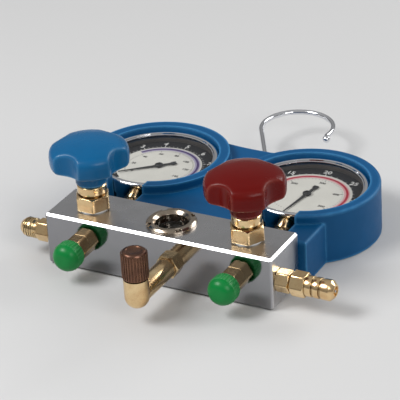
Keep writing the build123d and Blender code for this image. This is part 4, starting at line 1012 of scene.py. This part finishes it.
def make_service_cap():
    """The knurled cap on the riser, and the thread under it."""
    place = upright(ELBOW_OFFSET, ELBOW_AXIS_Y)
    bottom = RISER_BASE + FACE_GAP
    top = bottom + SERVICE_CAP_LENGTH
    radius = SERVICE_CAP_DIAMETER / 2
    bore = FLARE_THREAD / 2 + CAP_CLEARANCE
    outline = [
        (0, top - SERVICE_CAP_TOP), (bore, top - SERVICE_CAP_TOP), (bore, bottom),
        (radius - 0.9, bottom), (radius - 0.45, bottom + 0.6), (radius - 0.45, top - 1.3),
        (radius - 1.2, top - 0.25), (radius - 1.9, top), (radius - 2.7, top),
        (radius - 3.1, top - 0.35), (0, top - 0.35),
    ]
    dark = M["knurled_cap"]
    ribs = {"Radius": radius - 0.5, "Width": 0.5, "Material": dark}
    ribs.update({"Start": bottom + 0.8, "Length": SERVICE_CAP_LENGTH - 2.0})
    mesh = joined_mesh(turned(outline, place), grown(RIBS, ribs, place, 60))
    add_piece("service_cap_form", mesh, "service_cap", "dark_brass", dark, "service_cap")
    start = upright(ELBOW_OFFSET, ELBOW_AXIS_Y, RISER_BASE + 0.6)
    add_brass("riser_thread", thread(RISER_TIP - RISER_BASE - FLARE_CONE - 1.0, start))


def make_side_fittings():
    low = aim((-BLOCK_LENGTH / 2, -SIDE_PORT_SETBACK, PORT_HEIGHT), (-1, 0, 0))
    tip = LOW_HEX_LENGTH + LOW_STEM_LENGTH
    nut = hexagon(SIDE_HEX, 0, LOW_HEX_LENGTH, low, FLARE_BORE)
    nose = turned(flare_outline(LOW_HEX_LENGTH - 0.4, tip, FLARE_BORE), low, joined=True)
    start = low @ Matrix.Translation((0, 0, LOW_HEX_LENGTH + 1.2))
    ridge = thread(LOW_STEM_LENGTH - FLARE_CONE - 1.8, start)
    add_brass("low_side_form", joined_mesh(nut, nose, ridge), "low_side_fitting")

    high = aim((BLOCK_LENGTH / 2, -SIDE_PORT_SETBACK, PORT_HEIGHT), (1, 0, 0))
    first = hexagon(SIDE_HEX, 0, HIGH_HEX_LENGTH, high, ADAPTER_NECK + 0.2)
    add_brass("high_side_form", first, "high_side_fitting")
    hex_start = HIGH_HEX_LENGTH + ADAPTER_NECK_LENGTH
    stem_start = hex_start + ADAPTER_HEX_LENGTH
    end = stem_start + ADAPTER_STEM_LENGTH
    second = hexagon(ADAPTER_HEX, hex_start, stem_start, high, FLARE_BORE)
    outside = FLARE_THREAD / 2
    waist = outside - ADAPTER_GROOVE_DEPTH
    outline = [(FLARE_BORE / 2, HIGH_HEX_LENGTH - 2), (ADAPTER_NECK / 2, HIGH_HEX_LENGTH - 2)]
    outline += [(ADAPTER_NECK / 2, stem_start - 0.3), (outside, stem_start - 0.3)]
    for groove in (1, 2):
        middle = stem_start + ADAPTER_BAND * groove
        near = middle - ADAPTER_GROOVE / 2
        far = middle + ADAPTER_GROOVE / 2
        outline += [(outside, near), (waist, near + 0.25), (waist, far - 0.25), (outside, far)]
    outline += [(outside, end - FLARE_CONE), (FLARE_NOSE / 2, end), (FLARE_BORE / 2, end)]
    mesh = joined_mesh(second, turned(outline, high, joined=True))
    add_brass("high_adapter_form", mesh, "high_side_adapter")


def make_bezels():
    outside = BEZEL_DIAMETER / 2
    skirt = BEZEL_SKIRT / 2
    opening = BEZEL_OPENING / 2
    under = BEZEL_TOP - BEZEL_LIP
    crown = outside - BEZEL_ROLL
    outline = [(skirt, BEZEL_BOTTOM), (outside - 0.2, BEZEL_BOTTOM), (outside, BEZEL_BOTTOM + 0.4)]
    outline.append((outside, BEZEL_TOP - BEZEL_ROLL))
    outline += quarter_round(crown, BEZEL_TOP - BEZEL_ROLL, BEZEL_ROLL, BEZEL_ROLL, 8)[:-1]
    outline += [(crown - 0.5, BEZEL_TOP - 0.02), (crown - 1.2, BEZEL_TOP - 0.25)]
    outline += [(opening + 0.5, under + 0.25), (opening, under + 0.1), (opening, under), (skirt, under)]
    for side in SIDES:
        mesh = turned(outline, at_gauge(side), bevel=0.0, steps=FINE_AROUND, joined=True)
        bezel = side + "_gauge_bezel"
        add_piece(side + "_bezel_form", mesh, "manifold", "chrome_steel", M["chrome_plate"], bezel)


def flat_ring(inner, outer, thickness, place, start, sweep):
    """A thin band printed on a dial over part of a turn, clockwise from a start bearing."""
    bottom, top = DIAL_HEIGHT, DIAL_HEIGHT + thickness
    points = []
    faces = []
    count = int(FINE_AROUND * sweep / 360)
    for index in range(count + 1):
        bearing = math.radians(start + sweep * index / count)
        for radius, height in ((inner, bottom), (outer, bottom), (outer, top), (inner, top)):
            spot = Vector((radius * math.sin(bearing), radius * math.cos(bearing), height))
            points.append(MM * (place @ spot))
    for index in range(count):
        base = 4 * index
        for corner in range(4):
            after = (corner + 1) % 4
            faces.append((base + corner, base + after, base + 4 + after, base + 4 + corner))
    faces += [(0, 1, 2, 3), tuple(4 * count + corner for corner in (3, 2, 1, 0))]
    mesh = bpy.data.meshes.new("band")
    mesh.from_pydata(points, [], faces)
    return outward(mesh)


def numeral(text, size, place):
    """A printed number as a thin mesh, standing in its place on the dial."""
    curve = bpy.data.curves.new("numeral", "FONT")
    curve.body = text
    curve.size = size
    curve.align_x = "CENTER"
    curve.align_y = "CENTER"
    curve.extrude = NUMERAL_THICKNESS / 2
    curve.offset = 0.02 * size
    curve.resolution_u = 3
    return taken(new_object("numeral", curve), place)


def numbers_on(place, labels, radius, size, start, sweep):
    meshes = []
    for index, label in enumerate(labels):
        turn = math.radians(start + sweep * index / (len(labels) - 1))
        spot = Matrix.Translation((radius * math.sin(turn), radius * math.cos(turn), 0))
        meshes.append(numeral(str(label), size, place @ spot))
    return meshes


def make_dials():
    """Band, coloured arc, ticks, numbers and the spacer ring around each dial."""
    wall_top = LENS_BOTTOM - 0.1
    wall = [
        (SPACER_FOOT, DIAL_HEIGHT), (SPACER_OUTSIDE, DIAL_HEIGHT), (SPACER_OUTSIDE, wall_top),
        (SPACER_INSIDE, wall_top), (SPACER_INSIDE, DIAL_HEIGHT + 0.4),
    ]
    for side, prints in DIAL_PRINTS.items():
        start, sweep = prints["start"], prints["sweep"]
        centre = at_gauge(side)
        inner, outer = BAND_EDGES[side]
        band_start, band_sweep = start - BAND_OVERRUN, sweep + 2 * BAND_OVERRUN
        band = flat_ring(inner, outer, BAND_THICKNESS, centre, band_start, band_sweep)
        add_print(side + "_dial_band", band, "dial_black")
        arc_start, arc_sweep = start + ARC_START * sweep, (1 - ARC_START) * sweep
        for name, near, far, tone in ARCS:
            arc = flat_ring(near, far, ARC_THICKNESS, centre, arc_start, arc_sweep)
            add_print(side + "_dial_" + name, arc, ARC_INKS[side][tone])
        for ring, (ink, (spread, size, lift), rows) in DIAL_MARKS.items():
            labels = prints[ring]
            marks = []
            for steps, radius, length, width, height in rows:
                values = {"Count": (len(labels) - 1) * steps + 1, "Start": start, "Sweep": sweep}
                values.update({"Radius": radius, "Length": length, "Width": width, "Material": M[ink]})
                marks.append(grown(TICKS, values, at_gauge(side, DIAL_HEIGHT + height)))
            spots = at_gauge(side, DIAL_HEIGHT + lift)
            marks += numbers_on(spots, labels, spread, size, start, sweep)
            add_print(side + "_dial_" + ring + "_marks", joined_mesh(*marks), ink)
        spacer = turned(wall, centre, bevel=0.0, steps=FINE_AROUND, joined=True)
        add_piece(side + "_dial_spacer", spacer, "manifold", "seal_rubber", M["bezel_spacer"])


def make_pointers():
    """A tapered hand with a flared tail on a round hub."""
    neck, flare = -POINTER_TAIL + 3.4, -POINTER_TAIL + 2.4
    right = [(0.25, POINTER_LENGTH), (0.85, 1.8), (1.7, 0.6), (1.7, -0.6), (0.8, -1.8)]
    right += [(0.8, neck), (1.6, flare), (1.6, -POINTER_TAIL)]
    left = [(-x, y) for x, y in reversed(right)]
    outline = [left[-1], *right, *left[:-1]]
    for side in SIDES:
        place = at_gauge(side, POINTER_HEIGHT, -REST_BEARING[side])
        blade = bake(plate(outline, POINTER_THICKNESS, place), broken_edges(0.1, angle=30))
        smooth_mesh(blade)
        hub = turned([(0, 0), (2.4, 0), (2.4, 0.9), (1.7, 1.3), (0, 1.3)], place)
        mesh = joined_mesh(blade, hub)
        material, pointer = M["pointer_black"], side + "_pointer"
        add_piece(pointer + "_form", mesh, side + "_indicator", "black_pointer", material, pointer)


FINISHES = {             # the carried-over CAD nodes of each finish
    "milled_aluminium": ["manifold_block"],
    "clear_lens": ["sight_glass_lens"],
    "turned_brass": ["gallery_plug", "centre_elbow", "centre_core"],
    "turned_steel": ["centre_core_pin", "hook_collar"],
    "chrome_plate": ["hanging_hook"],
    "black_rubber": ["sight_glass_seal", "service_cap_gasket"],
    "blue_boot": ["gauge_boot"],
}
SIDE_FINISHES = {        # and the ones that each side has
    "clear_lens": ["gauge_lens"],
    "turned_brass": ["side_core", "stem", "gauge_socket"],
    "turned_steel": ["side_core_pin"],
    "drawn_steel": ["gauge_case"],
    "drawn_bronze": ["bourdon_tube"],
    "stamped_brass": ["movement_frame", "sector_gear", "movement_link", "pinion"],
    "white_ptfe": ["bonnet_gasket", "seat_disc"],
    "black_rubber": ["stem_o_ring", "gauge_gasket"],
    "dial_white": ["gauge_dial"],
}


def paint_nodes():
    """Every carried-over CAD node gets its finish."""
    for prefix, table in (("", FINISHES), ("low_", SIDE_FINISHES), ("high_", SIDE_FINISHES)):
        for finish, names in table.items():
            for name in names:
                paint(nodes[prefix + name].data, M[finish])


set_camera()
set_light()
set_floor()
paint_nodes()
make_valves()
make_sight_glass()
make_hose_ports()
make_service_cap()
make_side_fittings()
make_bezels()
make_dials()
make_pointers()
